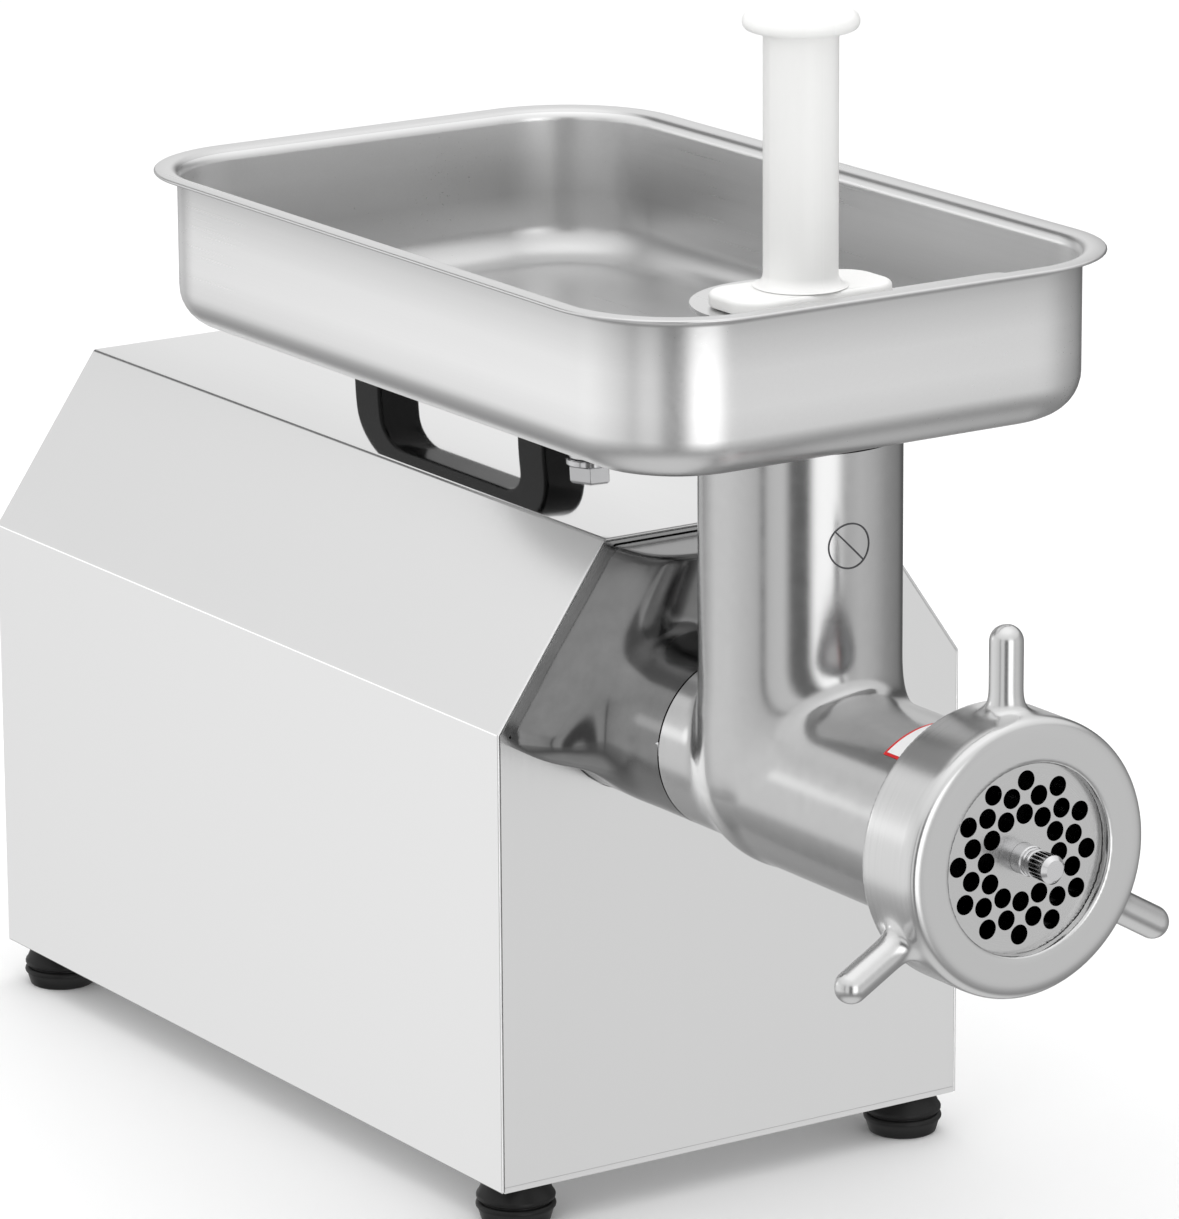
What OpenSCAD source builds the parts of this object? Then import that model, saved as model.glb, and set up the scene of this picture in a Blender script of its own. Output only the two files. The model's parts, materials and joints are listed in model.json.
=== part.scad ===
// Electric meat grinder, size 12: a bent-sheet cabinet with the motor and a two-stage
// gearbox inside, and a grinding head that pulls off the gearbox neck.
// Millimetres, +Z up, the head points to -Y. Modelled from the cabinet's front face
// (y = 0), its middle plane (x = 0) and the table (z = 0); stand() then moves the
// origin to the middle of the underside.

/* [Cabinet] */
// Width of the cabinet
body_w = 192; // [180:1:210]
// Length of the cabinet, front face to rear edge
body_l = 348; // [335:1:380]
// Height of the cabinet's underside above the table
body_z = 15; // [12:1:16]
// Height where the sides bend into the sloping shoulders
shoulder_z = 178; // [176:1:180]
// Height of the cabinet's top face
top_z = 240; // [239:1:244]
// Width of the flat top face
top_w = 105; // [102:1:110]
// Thickness of the cabinet sheet
sheet = 1.2; // [0.8:0.1:1.5]

/* [Head] */
// Sideways place of the head's axis
axis_x = -40; // [-42:1:-38]
// Height of the head's axis
axis_z = 181; // [180:1:182]
// Outer radius of the gearbox neck
neck_r = 30; // [29:0.5:31]
// Plane where the head meets the neck
seam_y = -58; // [-60:1:-57]
// Outer radius of the barrel
barrel_r = 33; // [32.5:0.5:34]
// Place along Y of the upright throat
throat_y = -97; // [-98:1:-96]
// Outer radius of the throat
throat_r = 33.5; // [33:0.5:34]
// Front face of the cutting plate
plate_y = -219; // [-221:1:-218]
// Diameter of the cutting plate
plate_d = 70; // [69.5:0.1:70]
// Radius of the holes in the cutting plate
plate_hole_r = 3.3; // [2:0.1:3.4]

/* [Tray] */
// Sideways middle of the tray
tray_x = -36; // [-38:1:-34]
// Width of the tray across its walls
tray_w = 190; // [180:1:196]
// Front wall of the tray
tray_front_y = -142; // [-144:1:-140]
// Rear wall of the tray
tray_rear_y = 174; // [160:1:180]
// Height of the underside of the tray's floor
tray_z = 295; // [294:1:297]
// Depth of the tray
tray_depth = 55; // [50:1:58]
// Width of the tray's rim
rim_w = 8; // [6:0.5:9]

/* [Gears] */
// Teeth of the output gear
output_teeth = 34; // [34:1:34]
// Teeth of the small gear on the lay shaft
lay_small_teeth = 16; // [16:1:16]
// Teeth of the large gear on the lay shaft
lay_large_teeth = 42; // [42:1:42]
// Teeth cut on the motor shaft
motor_teeth = 14; // [14:1:14]

/* [Hidden] */
$fn = 64;

gap = 0.3;                       // between pieces that move past each other
fit = 0.05;                      // radial clearance of a running fit
half_w = body_w / 2;
half_top = top_w / 2;
inner_z = top_z - sheet;         // underside of the top sheet
base_t = 2;                      // thickness of the base plate
floor_z = body_z + base_t;       // top of the base plate

// Nose of the gearbox casting, in front of the cabinet
nose_left = -91;
nose_right = 11;
nose_bottom = 172;
nose_reach = 26;
nose_plan_r = 24;

// Gearbox
box_front = 2;                   // behind the front panel
box_rear = 54;
cover_t = 8;
wall_t = 4;
module_out = 2;                  // gear module of the second stage
module_in = 1.5;                 // gear module of the first stage
lay_angle = -42;                 // direction from the output axis to the lay shaft
motor_angle = -65;               // direction from the lay shaft to the motor shaft
lay_distance = module_out * (output_teeth + lay_small_teeth) / 2;
motor_distance = module_in * (lay_large_teeth + motor_teeth) / 2;
lay_x = axis_x + lay_distance * cos(lay_angle);
lay_z = axis_z + lay_distance * sin(lay_angle);
motor_x = lay_x + motor_distance * cos(motor_angle);
motor_z = lay_z + motor_distance * sin(motor_angle);
stage_out_y = 24;                // front of the second stage's gears
stage_out_w = 22;
stage_in_y = 8;                  // front of the first stage's gears
stage_in_w = 12;
cover_y = box_rear + cover_t;

// Motor
motor_r = 58;
boss_t = 4;                      // ring on the cover that the motor sits on
motor_front = cover_y + boss_t;
bell_t = 18;
can_l = 120;
can_y = motor_front + bell_t;
can_rear = can_y + can_l;
motor_rear = can_rear + bell_t;
core_r = 31.5;
air_gap = 0.5;
shaft_r = 7;
fan_y = motor_rear + 8;
fan_w = 16;
fan_r = 44;

// Head
bore_r = 27.5;
screw_r = 26.5;
spigot_r = 24.5;
spigot_l = 24;
plate_t = 10;
thread_r = 40.6;
ring_r = 46;
ring_front = plate_y - 4;
ring_l = 27;
ring_open_r = 31.2;
ring_rear = ring_front + ring_l;
lug_r = 5.5;
lug_tip = 74;
stud_r = 5;
stud_tip = plate_y - 17;
knife_t = 7;
plate_back = plate_y + plate_t;
knife_back = plate_back + knife_t;
mouth_y = knife_back + 2;
socket_w = 14.4;
tail_w = 13.8;

// Tray and pusher
wall = 1.2;
corner_r = 38;
floor_top = tray_z + wall;
rim_z = tray_z + tray_depth;
collar_r = 28;
collar_in = 26.2;
collar_z = tray_z - 26;
tray_mid = (tray_front_y + tray_rear_y) / 2;
tray_l = tray_rear_y - tray_front_y;
guard_top = 338;
guard_t = 2;
guard_rear = -103;
guard_left = -98;
guard_right = 38;
guard_disc_r = 36;
pusher_z = guard_top + gap;
pusher_flange_w = 62;            // across, along the tray's front wall
pusher_flange_l = 30;
pusher_flange_t = 5;
pusher_rod_r = 12.25;
pusher_top_z = 433;
pusher_cap_r = 19;
plunger_r = 25;
plunger_z = 222;
plunger_top = guard_top - guard_t - 2;

// Carrying handle and the bolt in front of it
handle_x = 25;
handle_y = 143;
handle_l = 130;
handle_w = 18;
handle_h = 48;
handle_t = 15;
handle_outer_r = 30;
handle_inner_r = 13;
bolt_x = 15;
bolt_y = 112;
washers_h = 6.2;

// Feet and controls
foot_x = 82;
foot_front = 13;
foot_rear = body_l - 16;
panel_y = 215;                   // middle of the control panel, on the right side
panel_z = 118;
panel_l = 110;
panel_h = 52;
button_r = 9;
button_out = 5;
start_y = panel_y - 34;
stop_y = panel_y - 8;
knob_y = panel_y + 30;
plate_x = half_w + 1.5;          // outer face of the control panel
inlet_x = 45;
inlet_z = 50;
inlet_out = 3;

// Place of the origin
x_low = tray_x - tray_w / 2 - rim_w;
x_high = plate_x + 16;
y_low = stud_tip;
y_high = body_l + inlet_out;

steel = "#d9dadb";
cast = "#b9bbbd";
dark = "#1b1b1c";

module stand() {
    translate([-(x_low + x_high) / 2, -(y_low + y_high) / 2, 0]) children();
}

// A round bar along Y from y0 to y1
module bar(x, z, y0, y1, r) {
    translate([x, y1, z]) rotate([90, 0, 0]) cylinder(h = y1 - y0, r = r);
}

// A 2-D outline in X and Z, as thick as y0 to y1
module slab(y0, y1) {
    translate([0, y1, 0]) rotate([90, 0, 0]) linear_extrude(y1 - y0) children();
}

// A rectangle with round corners, drawn about its middle
module round_rect(w, l, r) {
    square([w - 2 * r, l], center = true);
    square([w, l - 2 * r], center = true);
    for (sx = [-1, 1], sy = [-1, 1])
        translate([sx * (w / 2 - r), sy * (l / 2 - r)]) circle(r);
}

// The cabinet's section, drawn in by t
module cabinet_outline(t, low) {
    shoulder = atan2(top_z - shoulder_z, half_w - half_top);
    down = t * tan((90 - shoulder) / 2);
    top_in = t * tan(shoulder / 2);
    polygon([[-half_w + t, low], [half_w - t, low], [half_w - t, shoulder_z - down],
        [half_top - top_in, top_z - t], [-half_top + top_in, top_z - t],
        [-half_w + t, shoulder_z - down]]);
}

// ---- Cabinet ----

module body_shell() {
    color(steel) stand() difference() {
        slab(0, body_l) difference() {
            cabinet_outline(0, body_z);
            cabinet_outline(sheet, body_z - 1);
        }
        for (y = [handle_y + handle_w / 2, handle_y + handle_l - handle_w / 2])
            translate([handle_x, y, top_z - 5]) cylinder(h = 10, r = 2.6);
        translate([bolt_x, bolt_y, top_z - 5]) cylinder(h = 10, r = 4.2);
        translate([half_w - 5, panel_y - panel_l / 2 + 8, panel_z - panel_h / 2 + 8])
            cube([10, panel_l - 16, panel_h - 16]);
    }
}

module nose_outline(grow) {
    left = nose_left - grow;
    low = nose_bottom - grow;
    slope = (half_w - half_top) / (top_z - shoulder_z);
    high = inner_z - 1.5 + grow;
    polygon([[left + 5, low], [nose_right + grow, low], [nose_right + grow, high],
        [left + slope * (high - low - 5), high], [left, low + 5]]);
}

module front_panel() {
    color(steel) stand() difference() {
        slab(0, sheet) cabinet_outline(sheet + 0.05, floor_z + 0.1);
        slab(-1, sheet + 1) nose_outline(0.4);
        bar(axis_x, axis_z, -1, sheet + 1, neck_r + 0.4);
    }
}

module rear_panel() {
    vents = 9;
    color(steel) stand() difference() {
        slab(body_l - sheet, body_l) cabinet_outline(sheet + 0.05, floor_z + 0.1);
        for (i = [0 : vents - 1], sx = [-1, 1])
            translate([sx * 32 - 22, body_l - 5, 110 + 8 * i]) cube([44, 10, 4]);
        translate([inlet_x - 14, body_l - 5, inlet_z - 10]) cube([28, 10, 20]);
        for (p = rear_screw_places()) bar(p[0], p[1], body_l - 5, body_l + 5, 2.1);
    }
}

function rear_screw_places() = [for (sx = [-1, 1], z = [26, 100, 168]) [sx * 86, z]];
function foot_places() = [for (sx = [-1, 1], y = [foot_front, foot_rear]) [sx * foot_x, y]];

module rear_screws() {
    color("silver") stand() for (p = rear_screw_places()) {
        bar(p[0], p[1], body_l - 8, body_l, 2);
        bar(p[0], p[1], body_l, body_l + 2.2, 3.6);
    }
}

module base_plate() {
    color(steel) stand() difference() {
        translate([-half_w + sheet + 0.05, 0, body_z])
            cube([body_w - 2 * sheet - 0.1, body_l, base_t]);
        for (p = foot_places()) translate([p[0], p[1], body_z - 1]) cylinder(h = 5, r = 2.6);
        for (i = [0 : 6]) translate([-60, 250 + 10 * i, body_z - 1]) cube([50, 4, 5]);
    }
}

module feet() {
    color(dark) stand() for (p = foot_places()) translate([p[0], p[1], 0]) difference() {
        union() {
            cylinder(h = 5, r1 = 12, r2 = 14);
            translate([0, 0, 5]) cylinder(h = 6, r = 14);
            translate([0, 0, 11]) cylinder(h = body_z - 11, r1 = 14, r2 = 11);
        }
        translate([0, 0, -1]) cylinder(h = 7, r = 6);
        cylinder(h = body_z + 1, r = 2.6);
    }
}

module foot_screws() {
    color("silver") stand() for (p = foot_places()) translate([p[0], p[1], 0]) {
        translate([0, 0, 6]) cylinder(h = floor_z, r = 2.5);
        translate([0, 0, 3]) cylinder(h = 3, r = 4.8);
        translate([0, 0, floor_z]) cylinder(h = 4, r = 4.6, $fn = 6);
    }
}

module carry_handle() {
    color(dark) stand() translate([handle_x + handle_w / 2, handle_y, top_z])
        rotate([0, -90, 0]) linear_extrude(handle_w) difference() {
            handle_outline(handle_l, handle_h, handle_outer_r);
            translate([-10, handle_w]) handle_outline(handle_l - 2 * handle_w,
                handle_h - handle_t + 10, handle_inner_r);
        }
}

// One arch of the handle, height along the first axis
module handle_outline(l, h, r) {
    intersection() {
        union() {
            square([h - r, l]);
            translate([0, r]) square([h, l - 2 * r]);
            for (y = [r, l - r]) translate([h - r, y]) circle(r);
        }
        square([h, l]);
    }
}

module handle_screws() {
    color("silver") stand()
        for (y = [handle_y + handle_w / 2, handle_y + handle_l - handle_w / 2])
            translate([handle_x, y, inner_z - 3]) cylinder(h = 3, r = 4.6);
}

module top_bolt() {
    color("silver") stand() translate([bolt_x, bolt_y, 0]) {
        translate([0, 0, inner_z - 1]) cylinder(h = 9, r = 4);
        translate([0, 0, top_z + washers_h]) cylinder(h = 7, r = 8.2, $fn = 6);
    }
}

module top_washers() {
    color("silver") stand() translate([bolt_x, bolt_y, top_z]) difference() {
        union() {
            cylinder(h = 2, r = 8.6);
            cylinder(h = washers_h, r = 7);
            translate([0, 0, 3.6]) cylinder(h = washers_h - 3.6, r = 8.2);
        }
        translate([0, 0, -1]) cylinder(h = 8, r = 4.05);
    }
}

// ---- Gearbox ----

module box_outline() {
    polygon([[-88, 166], [-88, 178], [-50, 228], [10, 228], [36, 190], [36, 92], [-4, 92],
        [-58, 140], [-74, 152]]);
}

// Bolt places round the gearbox cover
function cover_bolt_places() = [[-82, 172], [-42, 223], [8, 220], [31, 172], [31, 97], [0, 97]];

module gear_housing() {
    color(cast) stand() difference() {
        union() {
            intersection() {
                slab(-nose_reach, box_front + 1) nose_outline(0);
                nose_plan();
            }
            bar(axis_x, axis_z, seam_y, box_front + 1, neck_r);
            slab(box_front, box_rear) box_outline();
        }
        bar(axis_x, axis_z, box_front + wall_t, box_rear + 1, 38.5);
        bar(lay_x, lay_z, box_front + wall_t, box_rear + 1, 35);
        bar(motor_x, motor_z, box_front + wall_t, box_rear + 1, 15);
        bar(axis_x, axis_z, -30, box_rear, 13);
        bar(axis_x, axis_z, -14, box_front + wall_t + 1, 23.5);
        bar(axis_x, axis_z, -26, -13, 19);
        bar(axis_x, axis_z, seam_y - 1, -25, spigot_r + fit);
        bar(lay_x, lay_z, box_front, box_rear, 6);
        translate([axis_x + 15, seam_y + 10, axis_z]) rotate([0, 90, 0]) cylinder(h = 30, r = 4);
        translate([-1, 0, 0]) seam_pin(2.3 + gap);
        translate([1, 0, 0]) seam_pin(2.3 + gap);
        for (p = cover_bolt_places()) bar(p[0], p[1], box_rear - 14, box_rear + 1, 2);
    }
}

// The nose from above: round front corners
module nose_plan() {
    w = nose_right - nose_left;
    l = nose_reach + 20;
    translate([nose_left, -nose_reach, nose_bottom - 10]) linear_extrude(top_z - nose_bottom + 20) {
        translate([nose_plan_r, 0]) square([w - 2 * nose_plan_r, l]);
        translate([0, nose_plan_r]) square([w, l - nose_plan_r]);
        for (x = [nose_plan_r, w - nose_plan_r]) translate([x, nose_plan_r]) circle(nose_plan_r);
    }
}

module gearbox_cover() {
    color(cast) stand() difference() {
        union() {
            slab(box_rear, cover_y) box_outline();
            bar(motor_x, motor_z, cover_y - 1, cover_y + boss_t, 34);
        }
        bar(motor_x, motor_z, cover_y, cover_y + boss_t + 1, 26);
        bar(axis_x, axis_z, box_rear - 1, cover_y - 2, 18);
        bar(lay_x, lay_z, box_rear - 1, cover_y - 2, 9);
        bar(motor_x, motor_z, box_rear - 1, cover_y + 1, 12);
        for (p = cover_bolt_places()) bar(p[0], p[1], box_rear - 1, cover_y + 1, 2.1);
    }
}

module cover_bolts() {
    color("silver") stand() for (p = cover_bolt_places()) {
        bar(p[0], p[1], box_rear - 12, cover_y, 2);
        bar(p[0], p[1], cover_y, cover_y + 3.5, 3.8);
    }
}

// A ball bearing drawn as one closed ring
module bearing(x, z, y0, y1, inner, outer) {
    difference() {
        bar(x, z, y0, y1, outer);
        bar(x, z, y0 - 1, y1 + 1, inner);
    }
}

module front_bearing() {
    color("silver") stand() bearing(axis_x, axis_z, -13, 1, 12.5 + fit, 23.45);
}

module rear_bearing() {
    color("silver") stand() bearing(axis_x, axis_z, box_rear, cover_y - 2, 10 + fit, 17.95);
}

module shaft_seal() {
    color(dark) stand() bearing(axis_x, axis_z, -22, -15, 12.5 + fit, 18.95);
}

module output_shaft() {
    color("silver") stand() difference() {
        union() {
            bar(axis_x, axis_z, -24, stage_out_y, 12.5);
            bar(axis_x, axis_z, stage_out_y, stage_out_y + stage_out_w, 12);
            bar(axis_x, axis_z, stage_out_y + stage_out_w, cover_y - 3, 10);
        }
        translate([axis_x - socket_w / 2, -25, axis_z - socket_w / 2])
            cube([socket_w, 17, socket_w]);
    }
}

// Involute of a circle of radius r, unwound by angle a in degrees
function involute(r, a) = [r * (cos(a) + a * PI / 180 * sin(a)), r * (sin(a) - a * PI / 180 * cos(a))];
// Outline of a spur gear with a tooth on the first axis
function gear_points(m, teeth, play) = let (
    pitch_r = m * teeth / 2,
    base_r = pitch_r * cos(20),
    tip_r = pitch_r + 0.9 * m,
    root_r = pitch_r - 1.2 * m,
    start_r = max(base_r, root_r),
    unwound = function (r) sqrt(max(0, pow(r / base_r, 2) - 1)) * 180 / PI,
    angle_at = function (r) let (p = involute(base_r, unwound(r))) atan2(p[1], p[0]),
    half = 90 / teeth - play / pitch_r * 180 / PI / 2 + angle_at(pitch_r),
    steps = 3,
    flank = [for (i = [0 : steps]) let (r = start_r + (tip_r - start_r) * i / steps)
        [r, angle_at(r) - half]])
    [for (t = [0 : teeth - 1]) let (turn = t * 360 / teeth) each concat(
        [[root_r * cos(turn - half), root_r * sin(turn - half)]],
        [for (f = flank) [f[0] * cos(turn + f[1]), f[0] * sin(turn + f[1])]],
        [for (i = [steps : -1 : 0]) let (f = flank[i]) [f[0] * cos(turn - f[1]), f[0] * sin(turn - f[1])]],
        [[root_r * cos(turn + half), root_r * sin(turn + half)]])];

// A spur gear along Y whose first tooth points at angle a in X and Z
module gear(x, z, y0, w, m, teeth, a) {
    slab(y0, y0 + w) translate([x, z]) rotate(a) polygon(gear_points(m, teeth, 0.25));
}

module output_gear() {
    color("silver") stand() difference() {
        gear(axis_x, axis_z, stage_out_y, stage_out_w, module_out, output_teeth, lay_angle);
        bar(axis_x, axis_z, stage_out_y - 1, stage_out_y + stage_out_w + 1, 12);
        for (a = [0 : 60 : 300]) bar(axis_x + 22 * cos(a), axis_z + 22 * sin(a),
            stage_out_y - 1, stage_out_y + stage_out_w + 1, 4);
    }
}

module lay_shaft_gear() {
    color("silver") stand() {
        gear(lay_x, lay_z, stage_in_y, stage_in_w, module_in, lay_large_teeth, motor_angle);
        gear(lay_x, lay_z, stage_in_y + stage_in_w, stage_out_y + stage_out_w - stage_in_y - stage_in_w,
            module_out, lay_small_teeth, lay_angle + 180 + 180 / lay_small_teeth);
        bar(lay_x, lay_z, box_front + 1, stage_in_y, 5);
        bar(lay_x, lay_z, stage_out_y + stage_out_w, cover_y - 3, 6);
    }
}

module lay_bushes() {
    color("#b08d57") stand() {
        bearing(lay_x, lay_z, box_front + 0.2, box_front + wall_t, 5 + fit, 5.95);
        bearing(lay_x, lay_z, box_rear, cover_y - 2, 6 + fit, 8.95);
    }
}

module gearbox_stand() {
    color("#8f9499") stand() difference() {
        translate([0, 12, floor_z]) cube([34, 36, 92 - floor_z]);
        translate([5, 11, floor_z + 6]) cube([24, 38, 60]);
    }
}

// ---- Motor ----

module motor_can() {
    color("#8f9499") stand() bearing(motor_x, motor_z, can_y, can_rear, 55, motor_r);
}

module motor_bell(y0, y1, opens_to_rear) {
    difference() {
        bar(motor_x, motor_z, y0, y1, motor_r);
        bar(motor_x, motor_z, opens_to_rear ? y0 + 5 : y0 - 1, opens_to_rear ? y1 + 1 : y1 - 5, 52);
        bar(motor_x, motor_z, y0 - 1, y1 + 1, 8);
    }
    difference() {
        bar(motor_x, motor_z, y0, y1, 20);
        bar(motor_x, motor_z, y0 - 1, y1 + 1, 8);
        bar(motor_x, motor_z, opens_to_rear ? y0 + 6 : y0 - 1, opens_to_rear ? y1 + 1 : y1 - 6, 16);
    }
}

module motor_front_bell() {
    color(cast) stand() motor_bell(motor_front, can_y, true);
}

module motor_rear_bell() {
    color(cast) stand() motor_bell(can_rear, motor_rear, false);
}

module rotor_bearings() {
    color("silver") stand() {
        bearing(motor_x, motor_z, motor_front + 6, motor_front + 15, shaft_r + fit, 15.95);
        bearing(motor_x, motor_z, motor_rear - 15, motor_rear - 6, shaft_r + fit, 15.95);
    }
}

module stator_core() {
    color("#5c6066") stand() bearing(motor_x, motor_z, can_y + 25, can_rear - 25, core_r + air_gap, 54.95);
}

module stator_winding() {
    color("#b5651d") stand() {
        bearing(motor_x, motor_z, can_y + 6, can_y + 25, 34, 50);
        bearing(motor_x, motor_z, can_rear - 25, can_rear - 6, 34, 50);
    }
}

module rotor_shaft() {
    color("silver") stand() {
        bar(motor_x, motor_z, stage_in_y + stage_in_w, fan_y + fan_w + 2, shaft_r);
        gear(motor_x, motor_z, stage_in_y, stage_in_w, module_in, motor_teeth,
            motor_angle + 180 + 180 / motor_teeth);
    }
}

module rotor_core() {
    color("#70757a") stand() bearing(motor_x, motor_z, can_y + 27, can_rear - 27, shaft_r, core_r);
}

module cooling_fan() {
    blades = 8;
    color(dark) stand() difference() {
        union() {
            bar(motor_x, motor_z, fan_y, fan_y + fan_w, 14);
            bar(motor_x, motor_z, fan_y, fan_y + 2.5, fan_r);
            for (i = [0 : blades - 1]) translate([motor_x, fan_y + 1, motor_z])
                rotate([0, 10 + i * 360 / blades, 0]) translate([10, 0, -1.5])
                    cube([fan_r - 12, fan_w - 3, 3]);
        }
        bar(motor_x, motor_z, fan_y - 1, fan_y + fan_w + 1, shaft_r);
    }
}

module motor_cradle() {
    color("#8f9499") stand() for (y = [can_y + 8, can_rear - 28]) difference() {
        translate([motor_x - 48, y, floor_z]) cube([96, 20, 50]);
        bar(motor_x, motor_z, y - 1, y + 21, motor_r);
        translate([motor_x - 34, y - 1, floor_z + 6]) cube([68, 22, 18]);
    }
}

module run_capacitor() {
    color("#c9ccd0") stand() {
        bar(-66, floor_z + 24, 232, 306, 21);
        bar(-66, floor_z + 24, 306, 310, 10);
        translate([-90, 250, floor_z]) difference() {
            cube([48, 22, 10]);
            translate([24, -1, 24]) rotate([-90, 0, 0]) cylinder(h = 24, r = 21);
        }
    }
}

// ---- Controls, on the right side ----

module switch_plate() {
    color(dark) stand() difference() {
        translate([half_w, panel_y - panel_l / 2, panel_z - panel_h / 2])
            cube([plate_x - half_w, panel_l, panel_h]);
        for (y = [start_y, stop_y]) translate([half_w - 1, y, panel_z])
            rotate([0, 90, 0]) cylinder(h = 5, r = button_r + gap);
        translate([half_w - 1, knob_y, panel_z]) rotate([0, 90, 0]) cylinder(h = 5, r = 5 + fit);
    }
}

module control_box() {
    color("#3b3f44") stand() difference() {
        translate([half_w - 20, panel_y - panel_l / 2 + 9, panel_z - panel_h / 2 + 9])
            cube([19, panel_l - 18, panel_h - 18]);
        for (y = [start_y, stop_y]) translate([half_w - 12, y, panel_z])
            rotate([0, 90, 0]) cylinder(h = 15, r = button_r + gap);
        translate([half_w - 12, knob_y, panel_z]) rotate([0, 90, 0]) cylinder(h = 15, r = 5 + fit);
    }
}

module push_button(y) {
    translate([half_w - 6, y, panel_z]) rotate([0, 90, 0])
        cylinder(h = plate_x - half_w + 6 + button_out, r = button_r);
}

module start_button() {
    color("green") stand() push_button(start_y);
}

module stop_button() {
    color("red") stand() push_button(stop_y);
}

module reverse_knob() {
    color("#2a2a2a") stand() translate([plate_x, knob_y, panel_z]) rotate([0, 90, 0]) {
        translate([0, 0, -10]) cylinder(h = 11, r = 5);
        translate([0, 0, gap]) cylinder(h = 6 - gap, r = 15);
        translate([-14, -3.5, 5]) cube([28, 7, 11]);
    }
}

module power_inlet() {
    color(dark) stand() difference() {
        union() {
            translate([inlet_x - 17, body_l, inlet_z - 13]) cube([34, inlet_out, 26]);
            translate([inlet_x - 13.7, body_l - 22, inlet_z - 9.7]) cube([27.4, 23, 19.4]);
        }
        translate([inlet_x - 12, body_l - 14, inlet_z - 8]) cube([24, 20, 16]);
    }
}

module inlet_pins() {
    color("silver") stand() for (p = [[-7, -2], [0, 3], [7, -2]])
        translate([inlet_x + p[0] - 1, body_l - 14, inlet_z + p[1] - 2]) cube([2, 9, 4]);
}

// ---- Grinding head ----

module head_barrel() {
    color(cast) stand() difference() {
        union() {
            bar(axis_x, axis_z, seam_y - 30, seam_y, neck_r);
            bar(axis_x, axis_z, ring_rear - 4, seam_y - 26, barrel_r);
            bar(axis_x, axis_z, plate_y + 1, ring_rear + 2, thread_r);
            translate([axis_x, throat_y, axis_z]) cylinder(h = tray_z - gap - axis_z, r = throat_r);
            bar(axis_x, axis_z, seam_y - 1, seam_y + spigot_l, spigot_r);
        }
        bar(axis_x, axis_z, mouth_y - 1, seam_y - 4, bore_r);
        bar(axis_x, axis_z, plate_y - 1, mouth_y, plate_d / 2 + 0.2);
        translate([axis_x, throat_y, axis_z]) cylinder(h = tray_z, r = collar_r + 0.3);
        bar(axis_x, axis_z, seam_y - 5, seam_y + spigot_l + 1, 13);
    }
}

// The bush that carries the auger's tail in the spigot
module auger_bush() {
    color("#b08d57") stand() bearing(axis_x, axis_z, seam_y - 4, seam_y + spigot_l, 10 + fit, 12.95);
}

// A radial cylinder across the seam, on the left side of the neck
module seam_pin(r) {
    translate([axis_x - neck_r + 0.2, seam_y, axis_z + 2]) rotate([0, 90, 0])
        cylinder(h = neck_r - spigot_r - 0.5, r = r);
}

// Half-round pin on the head's shoulder that sets the head upright
module locating_pin() {
    color("silver") stand() difference() {
        seam_pin(2.3);
        translate([axis_x - neck_r - 5, seam_y - 10, axis_z - 10]) cube([neck_r, 10, 25]);
    }
}

module auger() {
    turns = 3;
    screw_y = knife_back + 2;
    screw_l = seam_y - 5 - screw_y;
    color(cast) stand() {
        bar(axis_x, axis_z, seam_y - 6, seam_y + spigot_l + 1, 10);
        translate([axis_x - tail_w / 2, seam_y + spigot_l, axis_z - tail_w / 2])
            cube([tail_w, 22, tail_w]);
        translate([axis_x, seam_y - 5, axis_z]) rotate([90, 0, 0])
            linear_extrude(screw_l, twist = -360 * turns, slices = 20 * turns) screw_section();
        translate([axis_x - 6, plate_back + gap, axis_z - 6]) cube([12, screw_y - plate_back + 1, 12]);
    }
}

// Section across the auger: a core with one flight that tapers to its crest
module screw_section() {
    core_points = 12;
    core = 13;
    polygon([for (i = [0 : core_points]) let (a = 25 + 310 * i / core_points)
        [core * cos(a), core * sin(a)],
        for (i = [-2 : 2]) [screw_r * cos(6 * i), screw_r * sin(6 * i)]]);
}

// The stud screwed into the auger, on which the cutting plate is centred
module auger_stud() {
    color("silver") stand() {
        bar(axis_x, axis_z, stud_tip + 1.5, plate_back + gap, stud_r);
        translate([axis_x, stud_tip + 1.5, axis_z]) rotate([90, 0, 0])
            cylinder(h = 1.5, r1 = stud_r, r2 = 3.5);
    }
}

module cross_knife() {
    color("silver") stand() difference() {
        union() {
            bar(axis_x, axis_z, plate_back + gap, knife_back, 12);
            for (a = [0 : 90 : 270]) translate([axis_x, plate_back + gap, axis_z]) rotate([0, a, 0])
                translate([0, 0, -5]) cube([31, knife_t - gap, 10]);
        }
        translate([axis_x - 6, plate_back, axis_z - 6]) cube([12, knife_t + 1, 12]);
    }
}

// Rings of holes in the cutting plate: radius, and the angle of one hole
function plate_rings() = [[25.2, 87.5], [20.5, 72.5], [14.3, 87.5]];

module cutting_plate() {
    color("#c4c4c4") stand() difference() {
        bar(axis_x, axis_z, plate_y, plate_back, plate_d / 2 - 0.1);
        bar(axis_x, axis_z, plate_y - 1, plate_back + 1, stud_r + fit);
        for (ring = plate_rings(), i = [0 : 11]) let (a = ring[1] + 30 * i)
            bar(axis_x + ring[0] * cos(a), axis_z + ring[0] * sin(a), plate_y - 1, plate_back + 1,
                plate_hole_r);
    }
}

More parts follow.
